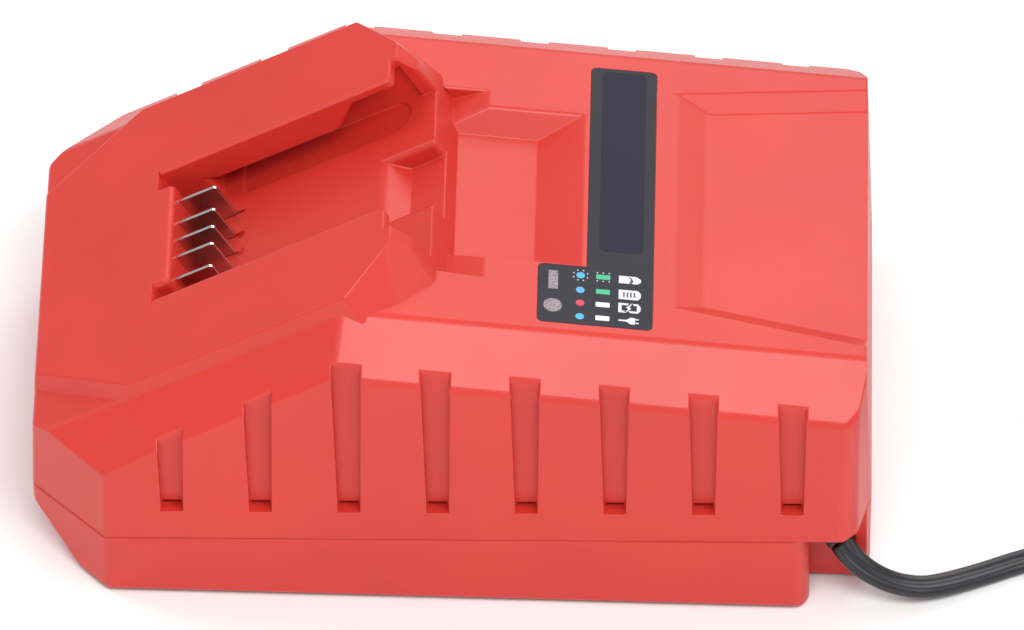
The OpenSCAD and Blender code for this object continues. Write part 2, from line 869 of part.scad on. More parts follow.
module output_connector() {
  color([0.9, 0.88, 0.8])
    on_board(connector_at - [connector_size[0], connector_size[1]] / 2)
      cube(connector_size);
}

// ---------- label and indicators ----------

// A bar with round corners
module round_bar(low, high, r) {
  for (x = [low[0] + r, high[0] - r], y = [low[1] + r, high[1] - r])
    translate([x, y]) circle(r = r);
  translate([low[0] + r, low[1]])
    square([high[0] - low[0] - 2 * r, high[1] - low[1]]);
  translate([low[0], low[1] + r])
    square([high[0] - low[0], high[1] - low[1] - 2 * r]);
}

// The label: a long bar with a short foot beside the pocket
module label_outline(grow) {
  g = [grow, grow];
  round_bar([label_u[1], label_y[0]] - g, [label_u[2], label_y[2]] + g,
    label_r + grow);
  round_bar([label_u[0], label_y[0]] - g,
    [label_u[1] + 2 * label_r, label_y[1]] + g, label_r + grow);
}

module label_shape(h, z, grow) {
  translate([0, 0, z]) linear_extrude(height = h)
    label_outline(grow);
}

module indicator_label() {
  color([0.33, 0.33, 0.36])
    in_case() on_deck() difference() {
      label_shape(label_t, -label_t, 0);
      translate([bar_at[0] - window_w / 2,
        bar_at[1] - window_l / 2, -1])
        cube([window_w, window_l, 2]);
      translate([round_at[0], round_at[1], -1])
        cylinder(d = window_d, h = 2);
    }
}

module light_pipe_bar() {
  color([0.75, 0.73, 0.76, 0.8])
    in_case() on_deck()
      translate([bar_at[0] - window_w / 2,
        bar_at[1] - window_l / 2, pipe_foot])
        cube([window_w, window_l, -pipe_foot]);
}

module light_pipe_round() {
  color([0.75, 0.73, 0.76, 0.8])
    in_case() on_deck()
      translate([round_at[0], round_at[1], pipe_foot])
        cylinder(d = window_d, h = -pipe_foot);
}

module status_leds() {
  color([0.92, 0.92, 0.85])
    in_case() on_deck() for (p = [bar_at, round_at])
      translate([p[0] - led_size[0] / 2, p[1] - led_size[1] / 2,
        led_board_n + board_t]) cube(led_size);
}

module indicator_board() {
  color([0.1, 0.35, 0.2])
    in_case() on_deck() difference() {
      span([led_board_u[0], led_board_y[0], led_board_n],
        [led_board_u[1], led_board_y[1], led_board_n + board_t]);
      for (p = led_boss) translate([p[0], p[1], led_board_n - 1])
        cylinder(d = small_screw_d + 2 * gap, h = board_t + 2);
    }
}

module indicator_screws() {
  color([0.6, 0.6, 0.62])
    in_case() on_deck() for (p = led_boss)
      translate([p[0], p[1], led_board_n])
        screw_up(small_screw_d, board_t + screw_bite, 2 * small_screw_d, 1.6);
}

module indicator_cable() {
  color([0.6, 0.6, 0.62])
    in_case() {
      top = from_deck(cable_at[0], cable_at[1], led_board_n);
      foot = [top[0] - 6, cable_at[1] - 1, board_top];
      tube([top, from_deck(cable_at[0], cable_at[1], led_board_n - 4),
        [top[0] - 3, cable_at[1], top[2] * 0.66],
        [foot[0] + 1, foot[1], top[2] * 0.3],
        foot + [0, 0, 6], foot], cable_d, cable_d, up = [0, 1, 0]);
    }
}

// ---------- main board ----------

module main_board() {
  color([0.1, 0.38, 0.2])
    in_case() difference() {
      translate([board_x - board_l / 2, -board_w / 2, -board_drop])
        cube([board_l, board_w, board_t]);
      for (x = [-1, 1], m = [-1, 1])
        translate([board_x + x * board_boss[0], m * board_boss[1],
          -board_drop - 1])
          cylinder(d = small_screw_d + 2 * gap, h = board_t + 2);
    }
}

module board_screws() {
  color([0.6, 0.6, 0.62])
    in_case() for (x = [-1, 1], m = [-1, 1])
      translate([board_x + x * board_boss[0], m * board_boss[1],
        board_top]) rotate([180, 0, 0])
        screw_up(small_screw_d, board_screw_l, 2 * small_screw_d, 2);
}

// Places a piece on the main board
module on_board(at) {
  in_case() translate([at[0], at[1], board_top]) children();
}

// Transformer: a core of two E shapes round the winding
module transformer_core() {
  color([0.2, 0.2, 0.22])
    on_board(core_at) translate([0, 0, base_t])
      difference() {
        span([-core[0] / 2, -core[1] / 2, 0],
          [core[0] / 2, core[1] / 2, core[2]]);
        for (m = [-1, 1])
          translate([m * (core_mid + core_window) / 2, 0, core[2] / 2])
            cube([core_window, core[1] + 2, core[2] - 2 * core_leg],
              center = true);
      }
}

module transformer_winding() {
  high = core[2] - 2 * core_leg - gap;
  color([0.86, 0.66, 0.2])
    on_board(core_at)
      translate([0, 0, base_t + core[2] / 2]) difference() {
        cube([core_mid + 2 * core_window - gap,
          core[1] + 2 * core_window - gap, high], center = true);
        cube([core_mid + gap, core[1] + gap, high + 2],
          center = true);
      }
}

module transformer_base() {
  color([0.12, 0.12, 0.13])
    on_board(core_at)
      span([-core[0] / 2, -base_half, 0],
        [core[0] / 2, base_half, base_t]);
}

// Electrolytic can with a rolled neck
module can(d, h) {
  difference() {
    cylinder(d = d, h = h);
    translate([0, 0, 2]) difference() {
      cylinder(d = d + 1, h = 1.2);
      translate([0, 0, -1]) cylinder(d = d - 1, h = 4);
    }
  }
}

module bulk_capacitor() {
  color([0.12, 0.14, 0.2]) on_board(bulk_at) can(bulk_d, bulk_h);
}

module output_capacitors() {
  color([0.14, 0.2, 0.36])
    for (i = [0, 1]) on_board(output_cap_at + [0, i * output_cap_pitch])
      can(output_cap_d, output_cap_h);
}

module film_capacitor() {
  color([0.85, 0.72, 0.25])
    on_board(film_at - [film_size[0], film_size[1]] / 2) cube(film_size);
}

module choke_core() {
  color([0.25, 0.3, 0.25])
    on_board(choke_at) translate([0, 0, choke_wire]) difference() {
      cylinder(d = choke_d, h = choke_h);
      translate([0, 0, -1]) cylinder(d = choke_d / 2, h = choke_h + 2);
    }
}

module choke_winding() {
  inner = choke_d / 4;
  outer = choke_d / 2;
  color([0.72, 0.36, 0.16])
    on_board(choke_at) for (turn = [30, 210]) rotate([0, 0, turn])
      rotate_extrude(angle = 120) difference() {
        translate([inner - choke_wire, 0])
          square([outer - inner + 2 * choke_wire,
            choke_h + 2 * choke_wire]);
        translate([inner, choke_wire])
          square([outer - inner, choke_h]);
      }
}

module fuse() {
  color([0.85, 0.84, 0.78])
    on_board(fuse_at) translate([0, 0, fuse_d / 2])
      rotate([90, 0, 0]) {
        cylinder(d = fuse_d - 2 * gap, h = fuse_l);
        cylinder(d = fuse_d, h = fuse_cap_l);
        translate([0, 0, fuse_l - fuse_cap_l])
          cylinder(d = fuse_d, h = fuse_cap_l);
      }
}

module varistor() {
  color([0.15, 0.3, 0.6])
    on_board(varistor_at) {
      translate([0, 0, varistor_d / 2 + 1]) rotate([90, 0, 0])
        cylinder(d = varistor_d, h = varistor_t, center = true);
      for (x = [-leg_pitch, leg_pitch]) translate([x, 0, 0])
        cylinder(d = 0.8, h = lead_up);
    }
}

module bridge_rectifier() {
  color([0.13, 0.13, 0.14])
    on_board(bridge_at) {
      translate([-bridge_size[0] / 2, -bridge_size[1] / 2, lead_up])
        cube(bridge_size);
      for (i = [-1.5:1:1.5])
        translate([i * bridge_pitch - 0.6, -0.4, 0])
          cube([1.2, 0.8, lead_up]);
    }
}

// A finned plate that stands on the board; of = length, height, fins
module heatsink(of) {
  span([-of[0] / 2, 0, 0], [of[0] / 2, fin_plate, of[1]]);
  for (i = [0:of[2] - 1])
    translate([-of[0] / 2 + i * (of[0] - fin_t) / (of[2] - 1),
      fin_plate, 0]) cube([fin_t, fin_reach, of[1]]);
}

// A power transistor that is bolted to a plate
module power_package() {
  body_top = package_up + package[2];
  span([-package[0] / 2, -package[1], package_up],
    [package[0] / 2, 0, body_top]);
  span([-package[0] / 2, -package_tab[0], body_top],
    [package[0] / 2, 0, body_top + package_tab[1]]);
  for (i = [-1:1])
    span([i * leg_pitch - 0.4, -2.6, 0],
      [i * leg_pitch + 0.4, -2, package_up]);
}

module switch_heatsink() {
  color([0.78, 0.79, 0.8]) on_board(switch_at) heatsink(switch_fins);
}

module switch_transistor() {
  color([0.13, 0.13, 0.14]) on_board(switch_at) power_package();
}

module output_heatsink() {
  color([0.78, 0.79, 0.8])
    on_board(output_at) rotate([0, 0, 180]) heatsink(output_fins);
}

module output_diode() {
  color([0.13, 0.13, 0.14])
    on_board(output_at) rotate([0, 0, 180]) power_package();
}

// A small chip with a row of pins on two sides
module chip(l, w, h, pins) {
  span([-l / 2, -w / 2, 0.6], [l / 2, w / 2, h]);
  for (i = [0:pins - 1], m = [-1, 1])
    translate([-l / 2 + (i + 0.5) * l / pins - 0.25,
      m * (w / 2 + 0.35) - 0.35, 0]) cube([0.5, 0.7, h / 2]);
}

module optocoupler() {
  color([0.9, 0.9, 0.88]) on_board(opto_at) chip(6, 6.4, 3.6, 2);
}

module control_chip() {
  color([0.13, 0.13, 0.14]) on_board(chip_at) chip(20, 7, 3.6, 8);
}

// ---------- mains lead ----------

// Stands on the exit point and points along the lead
module at_exit() {
  translate(exit_at) rotate([0, 0, exit_turn])
    rotate([0, exit_dip, 0]) children();
}

// An oval bar along +X, w wide and t thick, from x0 to x1
module oval_bar(w, t, x0, x1) {
  rotate([0, 90, 0]) translate([0, 0, x0]) linear_extrude(x1 - x0) {
    square([t, w - t], center = true);
    for (m = [-1, 1]) translate([0, m * (w - t) / 2]) circle(d = t);
  }
}

module boot_hole() {
  rotate([0, lean, 0]) translate([0, 0, -parting_h])
    at_exit() oval_bar(boot_w + 2 * gap, boot_t + 2 * gap,
      -boot_in + 4, boot_in);
}

// The boot: a flange behind the wall and an oval sleeve that thins
module strain_relief() {
  color([0.17, 0.17, 0.19]) {
    at_exit() {
      oval_bar(boot_w, boot_t, -boot_in, boot_out / 3);
      oval_bar(boot_w - boot_tip, boot_t - boot_tip,
        boot_out / 3, 2 * boot_out / 3);
      oval_bar(boot_w - 2 * boot_tip, boot_t - 2 * boot_tip,
        2 * boot_out / 3, boot_out);
    }
    in_case() span(boot_flange[0], boot_flange[1]);
  }
}

module mains_leads() {
  start = to_case(exit_at - exit_dir * boot_in);
  color([0.35, 0.25, 0.2])
    in_case() for (m = [-1, 1]) {
      from = start + [m, m * 1.2, 0];
      to = [mains_at[0], mains_at[1] + m * 3, board_top];
      tube([from, from + [-3, 2.6, 1.8],
        from * 0.6 + to * 0.4 + [-1, 2, 5],
        from * 0.25 + to * 0.75 + [-2, 1, 6],
        to + [0, 0, wire_rise], to], mains_d, mains_d, up = [0, 1, 0]);
    }
}

module cord() {
  color([0.25, 0.25, 0.28]) tube(lead_route, cord_w, cord_t, 12);
}

// Section of the coil, round its own axis
module coil_section(high) {
  translate([coil_r - coil_w / 2, 0]) square([coil_w, high]);
}

module cord_coil() {
  color([0.25, 0.25, 0.28])
    translate([coil_at[0], coil_at[1], tie_t]) {
      rotate_extrude() coil_section(coil_h);
      translate([-coil_end[0], -coil_r - coil_w / 2, 0])
        cube([coil_end[0], cord_w, cord_t]);
      translate([0, -coil_r - coil_w / 2, coil_h - cord_t])
        cube([coil_end[1], cord_w, cord_t]);
    }
}

module cord_tie() {
  color([0.12, 0.12, 0.13])
    translate([coil_at[0], coil_at[1], 0]) difference() {
      span([-tie_w / 2, coil_r - coil_w / 2 - 2 * tie_t, 0],
        [tie_w / 2, coil_r + coil_w / 2 + tie_t, coil_h + 2 * tie_t]);
      translate([0, 0, tie_t]) rotate_extrude() coil_section(coil_h);
    }
}

module plug_lead() {
  color([0.25, 0.25, 0.28]) tube(plug_route, cord_w, cord_t, 12);
}

// The plug from above, with round shoulders where the lead comes in
module plug_outline() {
  for (m = [-1, 1])
    translate([m * (plug_w / 2 - plug_shoulder), plug_shoulder])
      circle(r = plug_shoulder);
  translate([plug_shoulder - plug_w / 2, 0])
    square([plug_w - 2 * plug_shoulder, plug_l]);
  translate([-plug_w / 2, plug_shoulder])
    square([plug_w, plug_l - plug_shoulder]);
}

module plug_body() {
  color([0.17, 0.17, 0.19])
    translate([plug_at[0], plug_at[1] + plug_tail, 0]) {
      linear_extrude(height = plug_t) plug_outline();
      translate([0, -plug_tail, plug_t / 2]) rotate([-90, 0, 0])
        cylinder(d1 = cord_w + 0.6, d2 = cord_w + 2.6, h = plug_tail);
    }
}

module plug_pins() {
  color([0.85, 0.8, 0.6])
    translate([plug_at[0], plug_at[1] + plug_tail + plug_l, plug_t / 2])
      for (m = [-1, 1])
        translate([m * pin_pitch / 2 - pin_size[0] / 2, 0,
          -pin_size[2] / 2]) cube(pin_size);
}

lower_case();
upper_case();
rubber_feet();
case_screws();
terminal_block();
block_screws();
terminal_blade_1();
terminal_blade_2();
terminal_blade_3();
terminal_blade_4();
terminal_blade_5();
terminal_wires();
indicator_label();
light_pipe_bar();
light_pipe_round();
indicator_board();
indicator_screws();
status_leds();
indicator_cable();
main_board();
board_screws();
output_connector();
transformer_core();
transformer_winding();
transformer_base();
bulk_capacitor();
output_capacitors();
film_capacitor();
choke_core();
choke_winding();
fuse();
varistor();
bridge_rectifier();
switch_heatsink();
switch_transistor();
output_heatsink();
output_diode();
optocoupler();
control_chip();
mains_leads();
strain_relief();
cord();
cord_coil();
cord_tie();
plug_lead();
plug_body();
plug_pins();
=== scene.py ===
"""Slide-in battery charger: red moulded case with a sloping dock, blade
contacts, an indicator label, the power supply board and a mains lead."""
from math import cos, pi, radians, sin, tan

import bmesh
import bpy
import numpy as np
from mathutils import Matrix, Vector
from mathutils.bvhtree import BVHTree


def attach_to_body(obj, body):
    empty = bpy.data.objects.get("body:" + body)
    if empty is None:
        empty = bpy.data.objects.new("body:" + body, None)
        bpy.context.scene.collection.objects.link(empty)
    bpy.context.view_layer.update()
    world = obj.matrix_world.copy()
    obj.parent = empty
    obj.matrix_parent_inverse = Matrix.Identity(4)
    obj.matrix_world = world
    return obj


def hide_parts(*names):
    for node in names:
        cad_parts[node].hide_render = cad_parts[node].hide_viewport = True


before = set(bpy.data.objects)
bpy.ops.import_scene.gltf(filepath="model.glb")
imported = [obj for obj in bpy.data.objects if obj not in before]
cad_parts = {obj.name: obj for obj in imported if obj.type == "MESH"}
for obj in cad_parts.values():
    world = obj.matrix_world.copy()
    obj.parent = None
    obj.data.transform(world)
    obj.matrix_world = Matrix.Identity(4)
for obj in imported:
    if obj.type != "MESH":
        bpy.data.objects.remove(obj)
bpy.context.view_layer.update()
mm = 0.001

# ---------- the view ----------
# The charger stands with its long side to the camera, seen from above
# through a long lens, so its edges run almost parallel.

camera = bpy.data.objects.new("camera", bpy.data.cameras.new("camera"))
camera.location = (0.021425, -2.284085, 2.322499)
camera.rotation_euler = [radians(a) for a in (44.9623, -0.9891, 1.1895)]
camera.data.sensor_width = 36
camera.data.lens = 463.01
camera.data.clip_end = 30
bpy.context.scene.view_settings.view_transform = "Standard"
bpy.context.collection.objects.link(camera)
bpy.context.scene.camera = camera

# ---------- case ----------
# Two injection-moulded shells of red plastic that meet at a parting plane,
# which climbs a little to the right. The upper one carries the dock, the
# deck and the vents; four screws from below hold them together.

lean = radians(1.64)
parting_h = 21.8 * mm
to_case = (Matrix.Rotation(lean, 4, "Y")
           @ Matrix.Translation((0, 0, -parting_h)))
from_case = to_case.inverted()
sky_ways = [Vector((cos(a) * cos(e), sin(a) * cos(e), sin(e)))
            for e in (0.15, 0.5, 0.95, 1.4)
            for a in (0.3 + 0.5236 * k for k in range(12))]


def as_object(bm, name):
    """A new object made from a bmesh, which is freed."""
    mesh = bpy.data.meshes.new(name)
    bm.to_mesh(mesh)
    bm.free()
    new = bpy.data.objects.new(name, mesh)
    bpy.context.collection.objects.link(new)
    return new


def attach(piece, slot, *nodes):
    """Fixes a finished piece to the charger, in place of these solids."""
    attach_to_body(piece, "root")
    if nodes:
        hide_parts(*nodes)
    return piece


def merge(bm, gap, flat):
    """Welds vertices nearer than gap millimetres, and joins faces that meet
    at less than flat degrees."""
    bmesh.ops.remove_doubles(bm, verts=bm.verts[:], dist=gap * mm)
    bmesh.ops.dissolve_limit(bm, angle_limit=radians(flat),
                             verts=bm.verts[:], edges=bm.edges[:])


def shade(bm, sharp):
    """Smooth faces, and sharp edges where they meet at sharp degrees."""
    for f in bm.faces:
        f.smooth = True
    for e in bm.edges:
        e.smooth = e.calc_face_angle(0) < radians(sharp)


def round_edges(piece, width, segments, angle=None):
    """Rounds the edges over an angle, or without one those with a weight."""
    bevel = piece.modifiers.new("edges", "BEVEL")
    bevel.width = width * mm
    bevel.segments = segments
    if angle:
        bevel.limit_method = "ANGLE"
        bevel.angle_limit = radians(angle)
        bevel.harden_normals = True
    else:
        bevel.limit_method = "WEIGHT"
        bevel.use_clamp_overlap = False


def face_out(bm):
    """Turns all faces outwards."""
    bmesh.ops.recalc_face_normals(bm, faces=bm.faces[:])


def made(piece):
    """Works a piece's modifiers into its mesh."""
    seen = piece.evaluated_get(bpy.context.evaluated_depsgraph_get())
    mesh = bpy.data.meshes.new_from_object(seen)
    piece.modifiers.clear()
    piece.data = mesh
    return piece


def combine(piece, other, operation):
    """Adds, cuts or intersects a piece with another one, which goes."""
    cut = piece.modifiers.new(operation.lower(), "BOOLEAN")
    cut.operation = operation
    cut.solver = "EXACT"
    cut.object = other
    made(piece)
    bpy.data.objects.remove(other)
    return piece


def outside_faces(bm, ways):
    """The faces from which the open air is in sight."""
    off, grazing = 0.3, 0.05
    tree = BVHTree.FromBMesh(bm)
    seen = set()
    for f in bm.faces:
        p = f.calc_center_median() + f.normal * off * mm
        if any(w.dot(f.normal) > grazing and tree.ray_cast(p, w)[0] is None
               for w in ways):
            seen.add(f.index)
    return seen


def room_beside(edge, sharp, starts, ends):
    """The distance from an edge to the nearest other sharp edge in the plane
    of one of its faces, so that two roundings don't meet."""
    in_plane = 5e-5
    places = (0.12, 0.3, 0.5, 0.7, 0.88)
    straight_on = -0.87
    a, b = (np.array(v.co) for v in edge.verts)
    here = np.array([any(v in e.verts for v in edge.verts) for e in sharp])
    room = 1.0
    for f in edge.link_faces:
        n = np.array(f.normal)
        near = ((abs((starts - a) @ n) < in_plane)
                & (abs((ends - a) @ n) < in_plane) & ~here)
        if not near.any():
            continue
        p, way = starts[near], (ends - starts)[near]
        for t in places:
            q = a + (b - a) * t
            k = np.clip(((q - p) * way).sum(1) / (way * way).sum(1), 0, 1)
            gap = np.linalg.norm(p + way * k[:, None] - q, axis=1)
            room = min(room, gap.min())
    for v in edge.verts:
        way = (edge.other_vert(v).co - v.co).normalized()
        for e in v.link_edges:
            turn = way.dot((e.other_vert(v).co - v.co).normalized())
            if e is not edge and not e.smooth and turn > straight_on:
                room = min(room, e.calc_length())
    return room


def keep_apart(bm, weight):
    """Lowers the roundings that would meet along a short edge."""
    rounds, least_turn, usable = 3, 0.3, 0.94
    for _ in range(rounds):
        for e in bm.edges:
            ends = []
            for v in e.verts:
                way = (e.other_vert(v).co - v.co).normalized()
                takes = [(0, None)]
                for f in e.link_faces:
                    for g in v.link_edges:
                        if g is e or g not in f.edges[:] or not g[weight]:
                            continue
                        turn = way.angle(g.other_vert(v).co - v.co)
                        takes.append(
                            (g[weight] / max(sin(turn), least_turn), g))
                ends.append(max(takes, key=lambda t: t[0]))
            used, room = sum(t for t, _ in ends), usable * e.calc_length()
            if used > room:
                for _, g in ends:
                    if g:
                        g[weight] *= room / used


def rounded_block(name, planes, low, high, radius, foot="foot"):
    """A block inside a list of (name, point, way) planes, in millimetres,
    with the edge between any two planes rounded by radius(name, name). foot
    names the lowest plane."""
    grow = 0.01                  # so that no face of the shell lies in a plane
    widest = 10
    bm = bmesh.new()
    bmesh.ops.create_cube(bm, size=400)
    faces = [("sky", (0, 0, high), (0, 0, 1)),
             (foot, (0, 0, low), (0, 0, -1))] + planes
    ways = []
    for tag, point, way in faces:
        way = Vector(way).normalized()
        ways.append((tag, way))
        cut = bmesh.ops.bisect_plane(
            bm, geom=bm.verts[:] + bm.edges[:] + bm.faces[:], dist=1e-4,
            plane_co=Vector(point) + way * grow, plane_no=way,
            clear_outer=True)["geom_cut"]
        bmesh.ops.contextual_create(
            bm, geom=[g for g in cut if isinstance(g, bmesh.types.BMEdge)])
    bmesh.ops.remove_doubles(bm, verts=bm.verts[:], dist=1e-3)
    face_out(bm)
    bm.normal_update()
    tags = {f: max(ways, key=lambda w: w[1].dot(f.normal))[0]
            for f in bm.faces}
    weight = bm.edges.layers.float.new("bevel_weight_edge")
    for e in bm.edges:
        e[weight] = radius(*sorted(tags[f] for f in e.link_faces))
    keep_apart(bm, weight)
    for e in bm.edges:
        e[weight] /= widest
    bm.transform(Matrix.Scale(mm, 4))
    block = as_object(bm, name)
    round_edges(block, widest, 8)
    return made(block)


half_l, half_w = 102.3, 63.5
upper_draft, end_draft, lower_draft = radians(1.5), radians(1.8), radians(0.8)
cut_corner = 18.6                # plan size of the corners cut at the dock
bow_l, bow_d = 13.2, 3.4         # plan size of the slight cuts at the deck end
corner_cut = 3.4
deck_x, deck_end_h, deck_half, deck_pitch = 100.78, 48.4, 48.6, radians(6.7)
dock_x, dock_end_h, dock_half, dock_pitch = -101.55, 23.8, 47.9, radians(29.6)
dock_raise = 3.3                 # of the dock over the slope beside it
flank_h = dock_end_h - dock_raise / cos(dock_pitch)
chamfer_run = half_w - deck_half
deck_chamfer, slope_chamfer = 11.3, 9.7      # their drops


def wall_planes(way, side_draft, ends_draft):
    """The walls; way is 1 above the parting plane and -1 below it."""
    side, end = way * tan(side_draft), way * tan(ends_draft)
    planes = [("left", (-half_l, 0, 0), (-1, 0, end)),
              ("right", (half_l, 0, 0), (1, 0, end))]
    for m in (-1, 1):
        planes += [
            ("side", (0, m * half_w, 0), (0, m, side)),
            ("cut corner", (cut_corner - half_l, m * half_w, 0),
             (-1, m, side)),
            ("bowed end", (half_l, m * (half_w - bow_l - corner_cut), 0),
             (bow_l, m * bow_d, end)),
            ("corner", (half_l - bow_d, m * (half_w - corner_cut), 0),
             (corner_cut, m * corner_cut, side))]
    return planes


upper_planes = wall_planes(1, upper_draft, end_draft) + [
    ("slope", (dock_x, 0, flank_h), (-sin(dock_pitch), 0, cos(dock_pitch))),
    ("deck", (deck_x, 0, deck_end_h), (sin(deck_pitch), 0, cos(deck_pitch)))]
for m in (-1, 1):
    upper_planes += [
        ("deck chamfer", (deck_x, m * deck_half, deck_end_h),
         (tan(deck_pitch) * chamfer_run, m * deck_chamfer, chamfer_run)),
        ("slope chamfer", (dock_x, m * deck_half, flank_h),
         (-tan(dock_pitch) * chamfer_run, m * slope_chamfer, chamfer_run))]

ridge_s = 100.4                  # distance of the ridge up the slope
ridge_x = dock_x + ridge_s * cos(dock_pitch)
ridge_z = dock_end_h + ridge_s * sin(dock_pitch)
foot_x = ridge_x + 11.1          # where the end wall meets the deck
deck_z = deck_end_h + (deck_x - foot_x) * tan(deck_pitch)
flank, end_pitch, fall = radians(70), radians(57.5), 0.735
shoulder = (fall + tan(dock_pitch)) * 10.3 / 13
cut_flank_y, shoulder_y, end_flank_y, rim_y = 31.1, 34.6, 36.3, 51.9
dock_planes = [
    ("dock", (dock_x, 0, dock_end_h), (-sin(dock_pitch), 0, cos(dock_pitch))),
    ("left", (-half_l, 0, 0), (-1, 0, tan(end_draft))),
    ("ridge", (ridge_x, 0, ridge_z), (fall, 0, 1)),
    ("end wall", (foot_x, 0, deck_z), (sin(end_pitch), 0, cos(end_pitch)))]
for m in (-1, 1):
    dock_planes += [
        ("flank", (dock_x, m * dock_half, dock_end_h),
         (-sin(dock_pitch) * cos(flank), m * sin(flank),
          cos(dock_pitch) * cos(flank))),
        ("cut flank", (dock_x, m * cut_flank_y, dock_end_h),
         (-1.1, m * 1.1, 0.55)),
        ("shoulder", (ridge_x, m * shoulder_y, ridge_z),
         (fall, m * shoulder, 1)),
        ("rim", (0, m * rim_y, 0), (0, m, 0)),
        ("end flank", (foot_x - 0.6, m * end_flank_y, deck_z),
         (1.01, m * 0.93, 1))]

# How far the rounding of an edge between two planes reaches on each side
parting_softness = 0.3
softness = {
    ("deck", "deck chamfer"): 1.6, ("deck chamfer", "side"): 1.7,
    ("side", "slope chamfer"): 1.2, ("deck chamfer", "slope chamfer"): 1.2,
    ("slope", "slope chamfer"): 1.2, ("cut corner", "side"): 0.9,
    ("cut corner", "left"): 1.2, ("cut corner", "slope chamfer"): 0.7,
    ("left", "slope"): 0.7, ("deck", "right"): 0.8,
    ("bowed end", "deck"): 0.8, ("bowed end", "deck chamfer"): 1.4,
    ("corner", "deck chamfer"): 1.4, ("bowed end", "corner"): 1.4,
    ("corner", "side"): 1.9, ("bowed end", "right"): 1.5,
    ("cut corner", "dock"): 0.5, ("dock", "flank"): 0.6,
    ("dock", "ridge"): 1.2, ("ridge", "shoulder"): 1.2,
    ("dock", "shoulder"): 1.0, ("end wall", "ridge"): 1.0,
    ("end flank", "end wall"): 1.5, ("end flank", "shoulder"): 1.2,
    ("flank", "shoulder"): 0.7, ("cut flank", "dock"): 0.5,
    ("dock", "left"): 0.7, ("cut flank", "flank"): 0.5,
    ("cut flank", "left"): 0.5, ("flank", "ridge"): 0.7,
    ("end wall", "shoulder"): 0.8}


def upper_softness(*tags):
    """The rounding between two planes of the upper shell."""
    return parting_softness if "parting" in tags else softness.get(tags, 0)


def lower_softness(*tags):
    """The rounding between two planes of the lower shell."""
    if "parting" in tags:
        return parting_softness
    return 2.5 if tags == ("bottom", "toe") else 1.3


def upper_cut_radius(e):
    """Radius of an edge that a hollow cut into the shell has made. The
    hollow is told by where the edge lies."""
    a, b = (v.co / mm for v in e.verts)
    m = (a + b) / 2
    squared = any(max(abs(k) for k in f.normal) > 0.9997
                  for f in e.link_faces)
    over_deck = [p.z - deck_end_h + (p.x - deck_x) * tan(deck_pitch)
                 for p in (a, b)]
    over_dock = [(p.z - dock_end_h) * cos(dock_pitch)
                 - (p.x - dock_x) * sin(dock_pitch) for p in (a, b)]
    beside_label = (abs(m.x - 31.65) < 0.4 and abs(m.y) < 26
                    and over_deck[0] > -0.2)
    label = all(-0.6 < n < 0.1 for n in over_deck) and all(
        20.5 < p.x < 50 and -46 < p.y < 44 for p in (a, b)) and (
            abs(m.x - 32.7) < 1 or abs(abs(m.y) - 25.5) > 0.1)
    blade_slots = squared and abs(m.y) < 15 and m.x < -50 and m.z < 37
    vents = abs(m.y) > 53 or max(abs(a.y), abs(b.y)) > 58
    in_deck = all(-6 < n < 0.1 for n in over_deck)
    panel = in_deck and m.x > 45
    pocket = in_deck and m.x < 33 and abs(m.y) < 33
    runners = abs(m.y) > 18 and all(-15 < n < -13.9 for n in over_dock)
    if beside_label:
        return 0.8
    if label or blade_slots or max(a.z, b.z) < 1:
        return 0
    if vents:
        foot = min(a.z, b.z) < 12 and abs(a.z - b.z) < 1
        if foot or not e.is_convex:
            return 0
        return 1.1 if abs(a.x - b.x) > 4 else 0.4
    if panel:
        return 1.3 if abs(a.x - b.x) < 2 and m.x < 65 else 0.4
    if pocket and e.is_convex:
        return 0.25 if -27 < m.y < 0 else 0.7
    if pocket or runners:
        return 0.3
    if m.x < 0 and m.z > 30:
        return 1.7 if e.is_convex else 0.4
    return 1.3


def rounded_shell(node, name, envelope, ways, planes, cut_radius):
    """A copy of a shell, first with the rims of its hollows rounded, then
    cut to a rounded envelope. planes are the outer ones, which the envelope
    takes care of."""
    bm = bmesh.new()
    bm.from_mesh(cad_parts[node].data)
    merge(bm, 0.01, 0.3)
    bmesh.ops.connect_verts_concave(bm, faces=bm.faces[:])
    bm.transform(to_case)
    bm.normal_update()
    outer = [(Vector(p) * mm, Vector(w).normalized()) for _, p, w in planes]
    same_way, in_plane = 0.9999, 3e-5
    given = {f for f in bm.faces if any(
        f.normal.dot(w) > same_way
        and abs((f.calc_center_median() - p).dot(w)) < in_plane
        for p, w in outer)}
    outside = outside_faces(bm, ways)
    weight = bm.edges.layers.float.new("bevel_weight_edge")
    largest, least_bend, share = 2.0, radians(12), 0.43
    for e in bm.edges:
        e.smooth = e.calc_face_angle() < least_bend
    sharp = [e for e in bm.edges if not e.smooth]
    starts, ends = (np.array([e.verts[k].co for e in sharp]) for k in (0, 1))
    for e in sharp:
        if (all(f.index in outside for f in e.link_faces)
                and not all(f in given for f in e.link_faces)):
            wanted = cut_radius(e)
            if wanted:
                room = room_beside(e, sharp, starts, ends) / mm
                e[weight] = min(wanted, share * room) / largest
    piece = as_object(bm, name)
    round_edges(piece, largest, 6)
    combine(made(piece), envelope, "INTERSECT")
    bm = bmesh.new()
    bm.from_mesh(piece.data)
    merge(bm, 0.002, 0.2)
    shade(bm, 16)
    bm.transform(from_case)
    bm.to_mesh(piece.data)
    bm.free()
    shading = piece.modifiers.new("shading", "WEIGHTED_NORMAL")
    shading.keep_sharp = True
    shading.weight = 100
    return attach(piece, "case_red", node)


